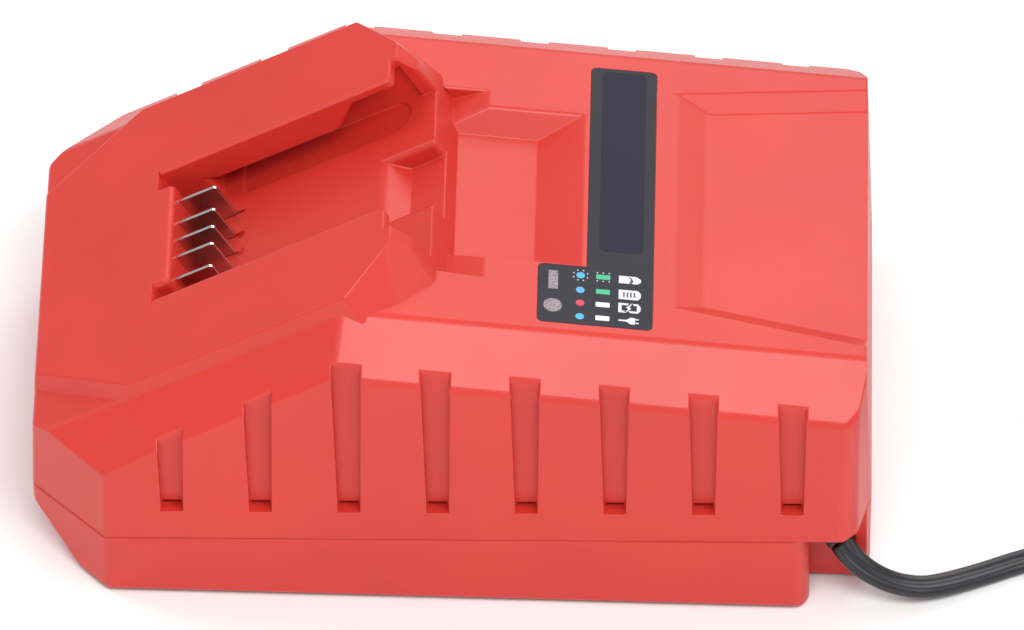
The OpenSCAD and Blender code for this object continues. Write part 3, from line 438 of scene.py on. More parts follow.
body = rounded_block("body", upper_planes, 0, 120, upper_softness,
                     foot="parting")
dock = rounded_block("dock", dock_planes, 10, 120, upper_softness)
upper = rounded_shell("upper_case", "upper_shell",
                      combine(body, dock, "UNION"), sky_ways,
                      upper_planes + dock_planes, upper_cut_radius)

base_z = (parting_h / mm - 1) / cos(lean)    # the feet are 1 mm high
toe_rise, toe_run = 11.6, 10.8
lower_planes = wall_planes(-1, lower_draft, lower_draft) + [
    ("bottom", (0, 0, -base_z), (-sin(lean), 0, -cos(lean))),
    ("toe", (-half_l, 0, toe_rise - base_z + half_l * tan(lean)),
     (-toe_rise, 0, -toe_run))]
lip_inset = 1.5                  # of the lip that the upper shell fits over
lip = rounded_block("lip", [
    (tag, tuple(Vector(p) - Vector(w).normalized() * lip_inset), w)
    for tag, p, w in wall_planes(1, upper_draft, end_draft)], -2, 6,
    lambda *tags: 0)
tray = rounded_block("tray", lower_planes + [
    ("parting", (0, 0, 0), (0, 0, 1))], -60, 30, lower_softness)
floor_ways = [Vector((w.x, w.y, s * w.z)) for w in sky_ways for s in (-1, 1)
              if w.z < 0.9]
lower = rounded_shell("lower_case", "lower_shell",
                      combine(tray, lip, "UNION"), floor_ways,
                      lower_planes, lambda e: 0)


def effect(name, inputs, outputs):
    """An empty shader node group with its sockets, and its two ends."""
    group = bpy.data.node_groups.new(name, "ShaderNodeTree")
    for way, sockets in (("INPUT", inputs), ("OUTPUT", outputs)):
        for tag, kind, start in sockets:
            socket = group.interface.new_socket(
                tag, in_out=way, socket_type="NodeSocket" + kind)
            if start is not None:
                socket.default_value = start
    return (group, group.nodes.new("NodeGroupInput"),
            group.nodes.new("NodeGroupOutput"))


def add(tree, kind, given, **settings):
    """A shader node; given holds values or sockets for its inputs."""
    new = tree.nodes.new("ShaderNode" + kind)
    for key, value in settings.items():
        setattr(new, key, value)
    for key, value in given.items():
        if isinstance(value, bpy.types.NodeSocket):
            tree.links.new(value, new.inputs[key])
        else:
            new.inputs[key].default_value = value
    return new


def mottle():
    """A faint cloudiness between two shades of one colour."""
    group, given, out = effect("mottle", [
        ("Dark", "Color", (0.4, 0.4, 0.4, 1)),
        ("Light", "Color", (0.5, 0.5, 0.5, 1)),
        ("Scale", "Float", 40.0)], [("Color", "Color", None)])
    place = add(group, "TexCoord", {})
    cloud = add(group, "TexNoise", {
        "Vector": place.outputs["Object"], "Scale": given.outputs["Scale"],
        "Detail": 4.0})
    ramp = add(group, "MapRange", {
        "Value": cloud.outputs["Fac"], "From Min": 0.3, "From Max": 0.7})
    mix = add(group, "Mix", {}, data_type="RGBA")
    for a, b in ((ramp.outputs["Result"], mix.inputs["Factor"]),
                 (given.outputs["Dark"], mix.inputs[6]),
                 (given.outputs["Light"], mix.inputs[7]),
                 (mix.outputs[2], out.inputs["Color"])):
        group.links.new(a, b)
    return group


def surface_effect(name, build):
    """A group for the fine shape of a surface: a height for the bump, and a
    roughness that varies a little. build gives the two textures."""
    group, given, out = effect(name, [
        ("Roughness", "Float", 0.4), ("Vary", "Float", 0.06)], [
            ("Height", "Float", None), ("Roughness", "Float", None)])
    place = add(group, "TexCoord", {})
    height, change = build(group, place.outputs["Object"])
    rough = add(group, "Math", {
        0: change, 1: given.outputs["Vary"], 2: given.outputs["Roughness"]},
        operation="MULTIPLY_ADD")
    group.links.new(height, out.inputs["Height"])
    group.links.new(rough.outputs[0], out.inputs["Roughness"])
    return group


def moulded_grain(group, place):
    """The fine grain that a mould leaves on plastic, with a little wear."""
    grain = add(group, "TexNoise", {
        "Vector": place, "Scale": 1900.0, "Detail": 3.0})
    wear = add(group, "TexNoise", {
        "Vector": place, "Scale": 34.0, "Detail": 5.0})
    spread = add(group, "Math", {0: wear.outputs["Fac"], 1: 2.0, 2: -1.0},
                 operation="MULTIPLY_ADD")
    return grain.outputs["Fac"], spread.outputs[0]


mottle_group = mottle()
grain_group = surface_effect("moulded grain", moulded_grain)


def shades(colour, spread):
    """A darker and a lighter shade of a colour."""
    return ([c * (1 - spread) for c in colour] + [1],
            [min(c * (1 + spread), 1) for c in colour] + [1])


def moulded(name, colour, roughness=0.4, vary=0.06, depth=0.012, spread=0.05,
            scale=25.0, surface=grain_group, **sockets):
    """A plastic or rubber finish. depth is the surface's height in
    millimetres; sockets are further inputs of the shader."""
    mat = bpy.data.materials.new(name)
    mat.use_nodes = True
    tree = mat.node_tree
    dark, light = shades(colour, spread)
    tone = add(tree, "Group", {}, node_tree=mottle_group)
    for key, value in (("Dark", dark), ("Light", light), ("Scale", scale)):
        tone.inputs[key].default_value = value
    grain = add(tree, "Group", {}, node_tree=surface)
    grain.inputs["Roughness"].default_value = roughness
    grain.inputs["Vary"].default_value = vary
    bump = add(tree, "Bump", {"Height": grain.outputs["Height"],
                              "Distance": depth * mm, "Strength": 0.6})
    paint = tree.nodes["Principled BSDF"]
    for a, b in ((tone.outputs["Color"], "Base Color"),
                 (grain.outputs["Roughness"], "Roughness"),
                 (bump.outputs["Normal"], "Normal")):
        tree.links.new(a, paint.inputs[b])
    for key, value in sockets.items():
        paint.inputs[key.replace("_", " ")].default_value = value
    return mat


def coat(piece, finish):
    """Gives a piece one finish."""
    piece.data.materials.clear()
    piece.data.materials.append(finish)


def dress(finish, *nodes):
    """Gives a finish to solids that are shown as they are."""
    for node in nodes:
        coat(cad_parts[node], finish)


case_red = moulded("case red", (0.58, 0.031, 0.021), roughness=0.39)
coat(upper, case_red)
coat(lower, case_red)

# ---------- feet and case screws ----------
# Four black rubber discs are glued into seats in the bottom. Four zinc
# plated pan head screws sit in wells beside them and hold the case together.


def softened(node, name, slot, width, segments=3):
    """A copy of a solid with all its sharp edges broken by a small bevel."""
    sharp = 32
    bm = bmesh.new()
    bm.from_mesh(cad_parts[node].data)
    merge(bm, 0.002, 0.3)
    shade(bm, sharp)
    piece = as_object(bm, name)
    round_edges(piece, width, segments, sharp)
    return attach(piece, slot, node)


def drawn_metal(group, place):
    """Fine streaks along X, as rolling or drawing leaves them."""
    along = add(group, "Mapping", {"Vector": place,
                                   "Scale": (0.04, 1.0, 1.0)})
    streaks = add(group, "TexNoise", {
        "Vector": along.outputs["Vector"], "Scale": 2600.0, "Detail": 3.0})
    return streaks.outputs["Fac"], streaks.outputs["Fac"]


drawn_group = surface_effect("drawn metal", drawn_metal)


def metal(name, colour, roughness=0.28, vary=0.12, depth=0.004, spread=0.05):
    """A bare metal finish."""
    return moulded(name, colour, roughness, vary, depth, spread,
                   surface=drawn_group, Metallic=1.0)


def loft(bm, rings):
    """Joins rings of points into a closed body, and returns its faces."""
    loops = [[bm.verts.new(p) for p in ring] for ring in rings]
    n = len(rings[0])
    sides = [bm.faces.new((a[k], a[(k + 1) % n], b[(k + 1) % n], b[k]))
             for a, b in zip(loops, loops[1:]) for k in range(n)]
    return sides + [bm.faces.new(loops[0][::-1]), bm.faces.new(loops[-1])]


foot_rubber = moulded("foot rubber", (0.028, 0.028, 0.03), roughness=0.75,
                      depth=0.03)
zinc = metal("zinc plate", (0.62, 0.63, 0.66))
feet = softened("rubber_feet", "feet", "rubber_black", 0.5)
coat(feet, foot_rubber)
screws = softened("case_screws", "case_bolts", "screw_steel", 0.15, 2)

# The cross recesses in their heads, which face down
screw_spots = [(x, y) for x in (-56.56, 72.29) for y in (-52, 52)]
recess = ((1, -15.0), (0.6, -13.1))          # size and height of its ends
arm, half_t, plus = 1.7, 0.45, []
for a, b in ((1, 0), (0, 1), (-1, 0), (0, -1)):
    plus += [(a * arm + b * half_t, b * arm - a * half_t),
             (a * arm - b * half_t, b * arm + a * half_t),
             ((a - b) * half_t, (a + b) * half_t)]
bm = bmesh.new()
for x, y in screw_spots:
    loft(bm, [[(x + a * k, y + b * k, z) for a, b in plus]
              for k, z in recess])
bm.transform(from_case @ Matrix.Scale(mm, 4))
face_out(bm)
combine(screws, as_object(bm, "driver"), "DIFFERENCE")
coat(screws, zinc)
dress(zinc, "block_screws", "indicator_screws", "board_screws")

# ---------- contacts ----------
# A black block is screwed up under the dock. Five upright blades of bright
# tin plated brass stand in it and come up through slots in the channel.

contact_black = moulded("contact block black", (0.03, 0.03, 0.033),
                        roughness=0.45)
tin = metal("bright tin", (0.62, 0.6, 0.59), roughness=0.16, vary=0.1)
dress(contact_black, "terminal_block")
for k in range(1, 6):
    coat(softened(f"terminal_blade_{k}", f"blade_{k}", "contact_metal",
                  0.12, 2), tin)

# ---------- label ----------
# A dark grey printed film with a glossy bar, glued into a shallow recess of
# the deck, and two milky light pipes that end flush in its windows.

on_deck = (from_case @ Matrix.Translation((deck_x * mm, 0, deck_end_h * mm))
           @ Matrix.Rotation(deck_pitch, 4, "Y"))


def corners(u0, u1, y0, y1, r):
    """The outline of a rectangle with round corners."""
    return [(cu + r * cos(radians(a + b)), cy + r * sin(radians(a + b)))
            for cu, cy, a in ((u1 - r, y1 - r, 0), (u0 + r, y1 - r, 90),
                              (u0 + r, y0 + r, 180), (u1 - r, y0 + r, 270))
            for b in (0, 30, 60, 90)]


def disc(u, y, r, n=28):
    """The outline of a disc."""
    return [(u + r * cos(2 * pi * k / n), y + r * sin(2 * pi * k / n))
            for k in range(n)]


def printed(name, shapes, inks):
    """Thin flat shapes on the label: each has its ink's number, its layer
    and its outline."""
    sunk, thick = 0.05, 0.012
    bm = bmesh.new()
    for ink, layer, outline in shapes:
        for f in loft(bm, [[(u * mm, y * mm, n * mm) for u, y in outline]
                           for n in (-sunk, thick + thick * layer)]):
            f.material_index = ink
    face_out(bm)
    bm.transform(on_deck)
    piece = as_object(bm, name)
    for ink in inks:
        piece.data.materials.append(ink)
    attach(piece, "label_grey")


def repeat(name, build, inputs, finish):
    """A geometry node group that ends in real geometry of one finish."""
    group = bpy.data.node_groups.new(name, "GeometryNodeTree")
    for tag, kind, start in inputs:
        socket = group.interface.new_socket(
            tag, in_out="INPUT", socket_type="NodeSocket" + kind)
        socket.default_value = start
    group.interface.new_socket("Geometry", in_out="OUTPUT",
                               socket_type="NodeSocketGeometry")
    given = group.nodes.new("NodeGroupInput")
    out = group.nodes.new("NodeGroupOutput")
    real = group.nodes.new("GeometryNodeRealizeInstances")
    paint = group.nodes.new("GeometryNodeSetMaterial")
    paint.inputs["Material"].default_value = finish
    group.links.new(build(group, given), real.inputs["Geometry"])
    group.links.new(real.outputs["Geometry"], paint.inputs["Geometry"])
    group.links.new(paint.outputs["Geometry"], out.inputs["Geometry"])
    return group


def repeated(name, group, values, place, slot):
    """A piece made by a geometry node group with the given inputs."""
    piece = bpy.data.objects.new(name, bpy.data.meshes.new(name))
    bpy.context.collection.objects.link(piece)
    work = piece.modifiers.new("repeat", "NODES")
    work.node_group = group
    for item in group.interface.items_tree:
        if item.in_out == "INPUT" and item.name in values:
            work[item.identifier] = values[item.name]
    made(piece)
    piece.data.transform(place)
    attach(piece, slot)


def dots_on(points_type):
    """A builder of small flat dots on the points of a mesh node, whose
    inputs are inputs of the group."""
    def build(group, given):
        points = group.nodes.new(points_type)
        dot = group.nodes.new("GeometryNodeMeshCylinder")
        dot.inputs["Vertices"].default_value = 10
        copies = group.nodes.new("GeometryNodeInstanceOnPoints")
        for a, b in [(given.outputs[socket.name], socket)
                     for socket in points.inputs] + [
                (given.outputs["Dot"], dot.inputs["Radius"]),
                (given.outputs["Film"], dot.inputs["Depth"]),
                (points.outputs["Mesh"], copies.inputs["Points"]),
                (dot.outputs["Mesh"], copies.inputs["Instance"])]:
            group.links.new(a, b)
        return copies.outputs["Instances"]
    return build


film = moulded("label film", (0.03, 0.03, 0.038), roughness=0.6,
               depth=0.004, spread=0.04, Specular_IOR_Level=0.25)
gloss = moulded("display bar", (0.011, 0.009, 0.024), roughness=0.22,
                depth=0.001, spread=0.02, Specular_IOR_Level=0.12)
white_ink = moulded("white ink", (0.7, 0.68, 0.71), roughness=0.5,
                    depth=0.002)
blue_ink = moulded("blue ink", (0.075, 0.38, 0.7), roughness=0.5, depth=0.002)
red_ink = moulded("red ink", (0.6, 0.045, 0.085), roughness=0.5, depth=0.002)
green_ink = moulded("green ink", (0.055, 0.43, 0.23), roughness=0.5,
                    depth=0.002)
dark_ink = moulded("dark ink", (0.06, 0.06, 0.075), roughness=0.42,
                   depth=0.002)
dress(film, "indicator_label")

rows = (-28.9, -33.9, -38.3, -42.9)          # across the deck
disc_at, box_at = -69.7, -64.2               # along the deck
glossy, white, blue, red, green, dark = range(6)
signs = [(glossy, 0, corners(-65.4, -54.6, -20, 42.6, 1.4))]
for row, ink in zip(rows, (blue, blue, red, blue)):
    signs.append((ink, 0, disc(disc_at, row, 1.05)))
for row, ink in zip(rows, (green, green, white, white)):
    signs.append((ink, 0, corners(-65.9, -62.5, row - 0.8, row + 0.8, 0.15)))


def sign(ink, layer, row, *points):
    """Adds a shape to a row; points are along the deck and off the row."""
    signs.append((ink, layer, [(u, row + y) for u, y in points]))


# A pack that is too hot or cold: a battery crossed by a dark stroke
row = rows[0] - 0.2
sign(white, 0, row, (-60.4, -1.25), (-55.9, -1.25), (-55, -0.5), (-55, 0.3),
     (-56.1, 1.25), (-60.4, 1.25))
sign(dark, 1, row, (-57.3, -1.3), (-56.8, -0.4), (-57.3, 0.6), (-58.3, 1.3),
     (-57.5, 0.2), (-57.9, -1.3))
# A full pack: a battery with four bars
row = rows[1] - 0.3
sign(white, 0, row, (-60.4, -1.6), (-55.7, -1.6), (-55, -0.6), (-55, 0.6),
     (-55.7, 1.6), (-60.4, 1.6))
for k in range(4):
    u = -59.3 + 0.85 * k
    sign(dark, 1, row, (u, -0.85), (u + 0.4, -0.85), (u + 0.4, 0.85),
         (u, 0.85))
# A pack on charge: an open battery with a flash
row = rows[2] - 0.4
sign(white, 0, row, (-60.4, -1.6), (-58.6, -1.6), (-59, -0.95),
     (-59.6, -0.95), (-59.6, 0.95), (-58.2, 0.95), (-57.8, 1.6),
     (-60.4, 1.6))
sign(white, 0, row, (-57.5, -1.6), (-55.7, -1.6), (-55, -0.7), (-55, 0.7),
     (-55.7, 1.6), (-57, 1.6), (-56.6, 0.95), (-55.9, 0.95), (-55.9, -0.95),
     (-57.9, -0.95))
sign(white, 0, row, (-58.7, -1.7), (-57.2, -0.1), (-57.7, 0.05), (-57, 1.8),
     (-58.6, 0.1), (-58, -0.1))
# Mains present: a plug on its lead
row = rows[3] - 0.1
sign(white, 0, row, (-60.3, -0.22), (-58.4, -0.3), (-57.4, -1.1),
     (-56.3, -1.1), (-56.3, 1.1), (-57.4, 1.1), (-58.4, 0.3), (-60.3, 0.22))
for y in (-0.6, 0.6):
    sign(white, 0, row, (-56.3, y - 0.18), (-55.4, y - 0.18),
         (-55.4, y + 0.18), (-56.3, y + 0.18))
printed("label_signs", signs,
        (gloss, white_ink, blue_ink, red_ink, green_ink, dark_ink))

dot_r = 0.00018
dot_size = [("Dot", "Float", dot_r), ("Film", "Float", 0.0001)]
rays = repeat("rays", dots_on("GeometryNodeMeshCircle"), [
    ("Vertices", "Int", 8), ("Radius", "Float", 0.0018)] + dot_size,
    white_ink)
rows_of_dots = repeat("rows of dots", dots_on("GeometryNodeMeshGrid"), [
    ("Size X", "Float", 0.0029), ("Size Y", "Float", 0.0028),
    ("Vertices X", "Int", 3), ("Vertices Y", "Int", 2)] + dot_size,
    white_ink)
for name, group, u, turn in (("blue_rays", rays, disc_at, 22.5),
                             ("green_rays", rows_of_dots, box_at, 0)):
    repeated(name, group, {"Dot": dot_r},
             on_deck @ Matrix.Translation((u * mm, rows[0] * mm, -0.00003))
             @ Matrix.Rotation(radians(turn), 4, "Z"), "label_grey")


def recolour(tree, colour):
    """Takes a finish's colour from another node."""
    tree.links.new(colour.outputs["Color"],
                   tree.nodes["Principled BSDF"].inputs["Base Color"])


def speckled():
    """Milky plastic with a coarse crystalline speckle."""
    mat = moulded("milky light pipe", (0.36, 0.31, 0.33), roughness=0.3,
                  depth=0.02, spread=0.1)
    tree = mat.node_tree
    place = add(tree, "TexCoord", {})
    cells = add(tree, "TexVoronoi", {"Vector": place.outputs["Object"],
                                     "Scale": 2600.0})
    ramp = add(tree, "ValToRGB", {"Fac": cells.outputs["Distance"]})
    ramp.color_ramp.elements[0].color = (0.42, 0.35, 0.375, 1)
    ramp.color_ramp.elements[1].color = (0.14, 0.1, 0.115, 1)
    ramp.color_ramp.elements[1].position = 0.75
    recolour(tree, ramp)
    return mat


dress(speckled(), "light_pipe_bar", "light_pipe_round")

# ---------- boards and their parts ----------
# The main board lies on four bosses of the lower case and carries the power
# supply; a small board with the two lamps is screwed under the deck.


def solder_mask():
    """Green lacquer over copper tracks and a fine glass weave."""
    mat = moulded("solder mask", (0.02, 0.16, 0.055), roughness=0.32)
    tree = mat.node_tree
    place = add(tree, "TexCoord", {})
    tracks = add(tree, "TexBrick", {
        "Vector": place.outputs["Object"], "Scale": 90.0,
        "Mortar Size": 0.06, "Color1": (0.02, 0.15, 0.05, 1),
        "Color2": (0.018, 0.13, 0.045, 1), "Mortar": (0.05, 0.3, 0.1, 1)})
    recolour(tree, tracks)
    weave = add(tree, "TexChecker", {"Vector": place.outputs["Object"],
                                     "Scale": 1400.0})
    tree.links.new(weave.outputs["Fac"], tree.nodes["Bump"].inputs["Height"])
    return mat


def wound(name, colour, turns_per_m, **sockets):
    """Wire or tape laid in close turns, with painted shade in the grooves
    between them and a painted highlight on their tops.
    """
    mat = moulded(name, colour, **sockets)
    tree = mat.node_tree
    place = add(tree, "TexCoord", {})
    turns = add(tree, "TexWave", {
        "Vector": place.outputs["Object"], "Scale": turns_per_m / 20,
        "Distortion": 0.4})
    # Painted shade and highlight: the colour runs from a darker shade where
    # the turns' bump is low to a lighter one where it is high.
    dark, light = shades(colour, 0.35)
    ramp = add(tree, "ValToRGB", {"Fac": turns.outputs["Fac"]})
    ramp.color_ramp.elements[0].color = dark
    ramp.color_ramp.elements[1].color = light
    recolour(tree, ramp)
    tree.links.new(turns.outputs["Fac"], tree.nodes["Bump"].inputs["Height"])
    tree.nodes["Bump"].inputs["Distance"].default_value = 0.15 * mm
    return mat


dress(solder_mask(), "indicator_board", "main_board")
dress(moulded("lamp lens", (0.85, 0.84, 0.72), roughness=0.15, depth=0.002),
      "status_leds")
dress(moulded("connector ivory", (0.78, 0.74, 0.62), roughness=0.4),
      "output_connector")
dress(moulded("ferrite", (0.045, 0.043, 0.045), roughness=0.7, depth=0.05,
              spread=0.2, scale=300.0), "transformer_core", "choke_core")
dress(wound("polyester tape", (0.75, 0.5, 0.05), 120, roughness=0.3),
      "transformer_winding")
dress(wound("enamelled copper", (0.6, 0.2, 0.06), 900, roughness=0.25,
            Metallic=1.0), "choke_winding")
dress(moulded("black sleeve", (0.03, 0.03, 0.035), roughness=0.3),
      "bulk_capacitor", "optocoupler", "control_chip", "bridge_rectifier",
      "switch_transistor", "output_diode", "transformer_base")
dress(moulded("blue sleeve", (0.03, 0.07, 0.3), roughness=0.3),
      "output_capacitors")
dress(moulded("film box", (0.6, 0.4, 0.04), roughness=0.4), "film_capacitor")
dress(moulded("glazed ceramic", (0.75, 0.73, 0.68), roughness=0.15), "fuse")
dress(moulded("dipped epoxy", (0.03, 0.14, 0.42), roughness=0.35,
              depth=0.05), "varistor")
dress(metal("extruded aluminium", (0.72, 0.73, 0.75), roughness=0.35),
      "switch_heatsink", "output_heatsink")
dress(moulded("red wire", (0.5, 0.02, 0.02), roughness=0.4),
      "terminal_wires")
dress(moulded("brown wire", (0.16, 0.06, 0.025), roughness=0.4),
      "mains_leads")
dress(moulded("grey cable", (0.25, 0.25, 0.26), roughness=0.45),
      "indicator_cable")

# ---------- mains lead ----------
# A flat twin lead: two cores side by side in one smooth black sheath with a
# groove along the middle. Its free stretch comes out of the boot and runs to
# a coil of five turns, beside and on each other, and then to the plug.

lead_w, lead_t = 6.6 * mm, 3.3 * mm
lead_groove = 0.45 * mm
exit_at = Vector((93.4, -51.3, 16.1)) * mm
exit_turn, exit_dip = radians(-48), radians(34)
exit_way = Vector((cos(exit_turn) * cos(exit_dip),
                   sin(exit_turn) * cos(exit_dip), -sin(exit_dip)))
lead_route = [(95.1, -53.2, 14.4), (97.8, -55.3, 11.5), (101.5, -57, 8.8),
              (106, -57.9, 6.4), (110.8, -57.9, 4.5), (115.9, -57.2, 3.3),
              (121, -55.3, 2.6), (126.8, -52.5, 2), (132.6, -49.6, 1.7),
              (138, -47, 1.7), (144, -44.6, 1.8), (150, -43, 2.1),
              (156, -42.3, 2.4), (160, -42.3, 2.45), (165, -42.3, 2.45)]
plug_route = [(215, -42.3, 5.95), (219, -42.3, 5.95), (225, -40.9, 5.2),
              (231, -37.8, 4), (236.2, -33.5, 2.8), (241, -27.3, 2),
              (244, -20.1, 1.8), (245, -12.3, 2.3), (245, -6, 3.4),
              (245, 0, 4.7), (245, 5, 5.7), (245, 10, 6.2), (245, 14, 6.2)]
coil_at = (193.5, 1.5)
# The slots that the turns lie in, one after another: radius and height
coil_slots = [(43.8, 2.45), (37, 2.45), (30.2, 2.45),
              (30.2, 5.95), (37, 5.95), (43.8, 5.95)]
coil_steps = 72              # points for each turn


def ease(a):
    """A soft step from 0 to 1."""
    a = min(max(a, 0.0), 1.0)
    return a * a * (3 - 2 * a)


def coil_point(turn, part):
    """A point of one of the five turns; part runs from 0 to 1. A turn moves
    over to the next slot where the turn before it has left that free."""
    start, stop = {0: (0.62, 1), 1: (0.62, 1), 2: (0.37, 0.62),
                   3: (0, 0.37), 4: (0, 0.37)}[turn]
    here, there = coil_slots[turn], coil_slots[turn + 1]
    k = ease((part - start) / (stop - start))
    r, z = (a + (b - a) * k for a, b in zip(here, there))
    angle = 2 * pi * part - pi / 2
    return (coil_at[0] + r * cos(angle), coil_at[1] + r * sin(angle), z)


def smooth_route(points, pieces=4):
    """The same route through more points, on a Catmull-Rom curve."""
    p = [Vector(q) for q in points]
    p = [2 * p[0] - p[1]] + p + [2 * p[-1] - p[-2]]
    fine = []
    for a, b, c, d in zip(p, p[1:], p[2:], p[3:]):
        for k in range(pieces):
            t = k / pieces
            fine.append(0.5 * (2 * b + (c - a) * t
                               + (2 * a - 5 * b + 4 * c - d) * t * t
                               + (3 * b - a - 3 * c + d) * t ** 3))
    return fine + [p[-2]]


lead_path = smooth_route(lead_route)
lead_path += [Vector((x, lead_route[-1][1], lead_route[-1][2]))
              for x in (170, 175, 180, 185, 190)]
lead_path += [Vector(coil_point(turn, k / coil_steps))
              for turn in range(5) for k in range(coil_steps)]
lead_path += [Vector((x, plug_route[0][1], plug_route[0][2]))
              for x in (193.5, 198, 203, 208)]
lead_path += smooth_route(plug_route)
lead_path = [p * mm for p in lead_path]


def sweep(name, path, section, up=Vector((0, 0, 1))):
    """A closed tube of a section, given as (across, up) points, along a
    path. Its UV map runs along the tube in metres."""
    bm = bmesh.new()
    uv = bm.loops.layers.uv.new("along")
    rings, run, runs = [], 0.0, []
    for i, p in enumerate(path):
        way = (path[min(i + 1, len(path) - 1)]
               - path[max(i - 1, 0)]).normalized()
        side = way.cross(up).normalized()
        top = side.cross(way)
        rings.append([bm.verts.new(p + side * a + top * b)
                      for a, b in section])
        run += (p - path[max(i - 1, 0)]).length
        runs.append(run)
    n = len(section)
    for i in range(len(path) - 1):
        for k in range(n):
            f = bm.faces.new((rings[i][k], rings[i][(k + 1) % n],
                              rings[i + 1][(k + 1) % n], rings[i + 1][k]))
            f.smooth = True
            for loop, u, v in zip(f.loops, (k, k + 1, k + 1, k),
                                  (i, i, i + 1, i + 1)):
                loop[uv].uv = (u / n, runs[v])
    bm.faces.new(rings[0])
    bm.faces.new(rings[-1])
    face_out(bm)
    return as_object(bm, name)


def twin_section(w, t, groove, n=14):
    """Outline of the sheath: two round lobes and a groove between them."""
    half = [(w / 2 - t / 2 + t / 2 * cos(a), t / 2 * sin(a))
            for a in (radians(-100 + 200 * k / (n - 1)) for k in range(n))]
    valley = [(w * 0.09, t / 2 - groove * 0.25), (0, t / 2 - groove)]
    upper = half + valley
    right = [(0, -t / 2 + groove), (w * 0.09, -t / 2 + groove * 0.25)]
    outline = right + upper
    return outline + [(-a, b) for a, b in upper[-2::-1]] + [
        (-right[1][0], right[1][1])]


lead = sweep("mains_lead", lead_path, twin_section(lead_w, lead_t,
                                                   lead_groove))
attach(lead, "cord_black", "cord", "cord_coil", "plug_lead")
cord_black = moulded("lead sheath", (0.016, 0.016, 0.02), roughness=0.3,
                     vary=0.08, depth=0.02, spread=0.12, scale=60.0)
coat(lead, cord_black)

# The boot: a sleeve that thins towards its tip, over a flange that bears on
# the inside of the wall.
boot_black = moulded("boot black", (0.03, 0.03, 0.034), roughness=0.45)


def oval(w, t, n=12):
    """The outline of a flat oval."""
    half = [((w - t) / 2 + t / 2 * cos(a), t / 2 * sin(a))
            for a in (radians(-90 + 180 * k / (n - 1)) for k in range(n))]
    return half + [(-a, -b) for a, b in half]


def finished(bm, name, slot, *nodes, sharp=40):
    """A smooth piece on the charger."""
    face_out(bm)
    shade(bm, sharp)
    return attach(as_object(bm, name), slot, *nodes)


bm = bmesh.new()
across = exit_way.cross(Vector((0, 0, 1))).normalized()
above = across.cross(exit_way)
boot_w, boot_t = 7.6, 4.5
steps = ((-18, 0), (0.6, 0), (1.0, 0.3), (1.6, 0.3), (2.0, 0.6), (2.7, 0.6),
         (3.0, 0.9))
loft(bm, [[exit_at + exit_way * along * mm + across * a + above * b
           for a, b in oval((boot_w - slim) * mm, (boot_t - slim) * mm)]
          for along, slim in steps])
flange = bmesh.ops.create_cube(bm, size=1)["verts"]
low, high = Vector((85.5, -48.8, -13)), Vector((97.0, -46.8, -1.5))
bmesh.ops.transform(bm, verts=flange, matrix=(
    from_case @ Matrix.Translation((low + high) / 2 * mm)
    @ Matrix.Diagonal(Vector(high - low) * mm).to_4x4()))
boot = finished(bm, "boot", "moulded_black", "strain_relief")
coat(boot, boot_black)

# The tie: a flat band round the coil's turns.
bm = bmesh.new()
reach, tie_t, coil_top, tie_half = 3.5, 0.8, 7.7, 4.5
inner, outer = coil_slots[2][0] - reach, coil_slots[0][0] + reach
loop_in = corners(inner, outer, tie_t, coil_top, 1.2)
loop_out = corners(inner - tie_t, outer + tie_t, 0, coil_top + tie_t, 1.9)
band = []
for loop in (loop_in, loop_out):
    for x in (-tie_half, tie_half):
        band.append([bm.verts.new(Vector((coil_at[0] + x, coil_at[1] + r, z))
                                  * mm) for r, z in loop])
n = len(loop_in)
for a, b in ((0, 1), (1, 3), (3, 2), (2, 0)):
    for k in range(n):
        bm.faces.new((band[a][k], band[a][(k + 1) % n],
                      band[b][(k + 1) % n], band[b][k]))
tie = finished(bm, "tie", "rubber_black", "cord_tie")
coat(tie, moulded("tie rubber", (0.02, 0.02, 0.022), roughness=0.6,
                  depth=0.05))

# The plug: a moulded body with round shoulders, a sleeve with rings that
# takes the lead, ribs for the grip and two flat brass pins.
plug_x, plug_y, plug_t = 245, 14, 12.4
plug_half, plug_l, sleeve_l, shoulder_r = 12, 28, 20, 8
outline = []
for m, turns in ((1, range(-90, 1, 15)), (-1, range(180, 271, 15))):
    outline += [(m * (plug_half - shoulder_r) + shoulder_r * cos(radians(a)),
                 shoulder_r + shoulder_r * sin(radians(a))) for a in turns]
    if m == 1:
        outline += [(plug_half, plug_l), (-plug_half, plug_l)]
bm = bmesh.new()
loft(bm, [[Vector((plug_x + x, plug_y + sleeve_l + y, z)) * mm
           for x, y in outline] for z in (0, plug_t)])
plug = finished(bm, "plug", "cord_black", "plug_body")
round_edges(plug, 1.6, 5, 40)
coat(plug, boot_black)

bm = bmesh.new()
steps = [(0, 3.7), (0.4, 3.9)] + [
    (0.9 + 3.1 * k + d, 3.95 + 0.105 * (3 * k + 1) - sunk) for k in range(6)
    for d, sunk in ((0, 0), (1.7, 0), (1.9, 0.55), (2.9, 0.55))] + [
        (19.8, 4.55), (21, 4.6)]
loft(bm, [[Vector((plug_x + x, plug_y + y, plug_t / 2 + z)) * mm
           for x, z in disc(0, 0, r, 24)] for y, r in steps])
sleeve = finished(bm, "plug_sleeve", "cord_black", sharp=30)
coat(sleeve, boot_black)


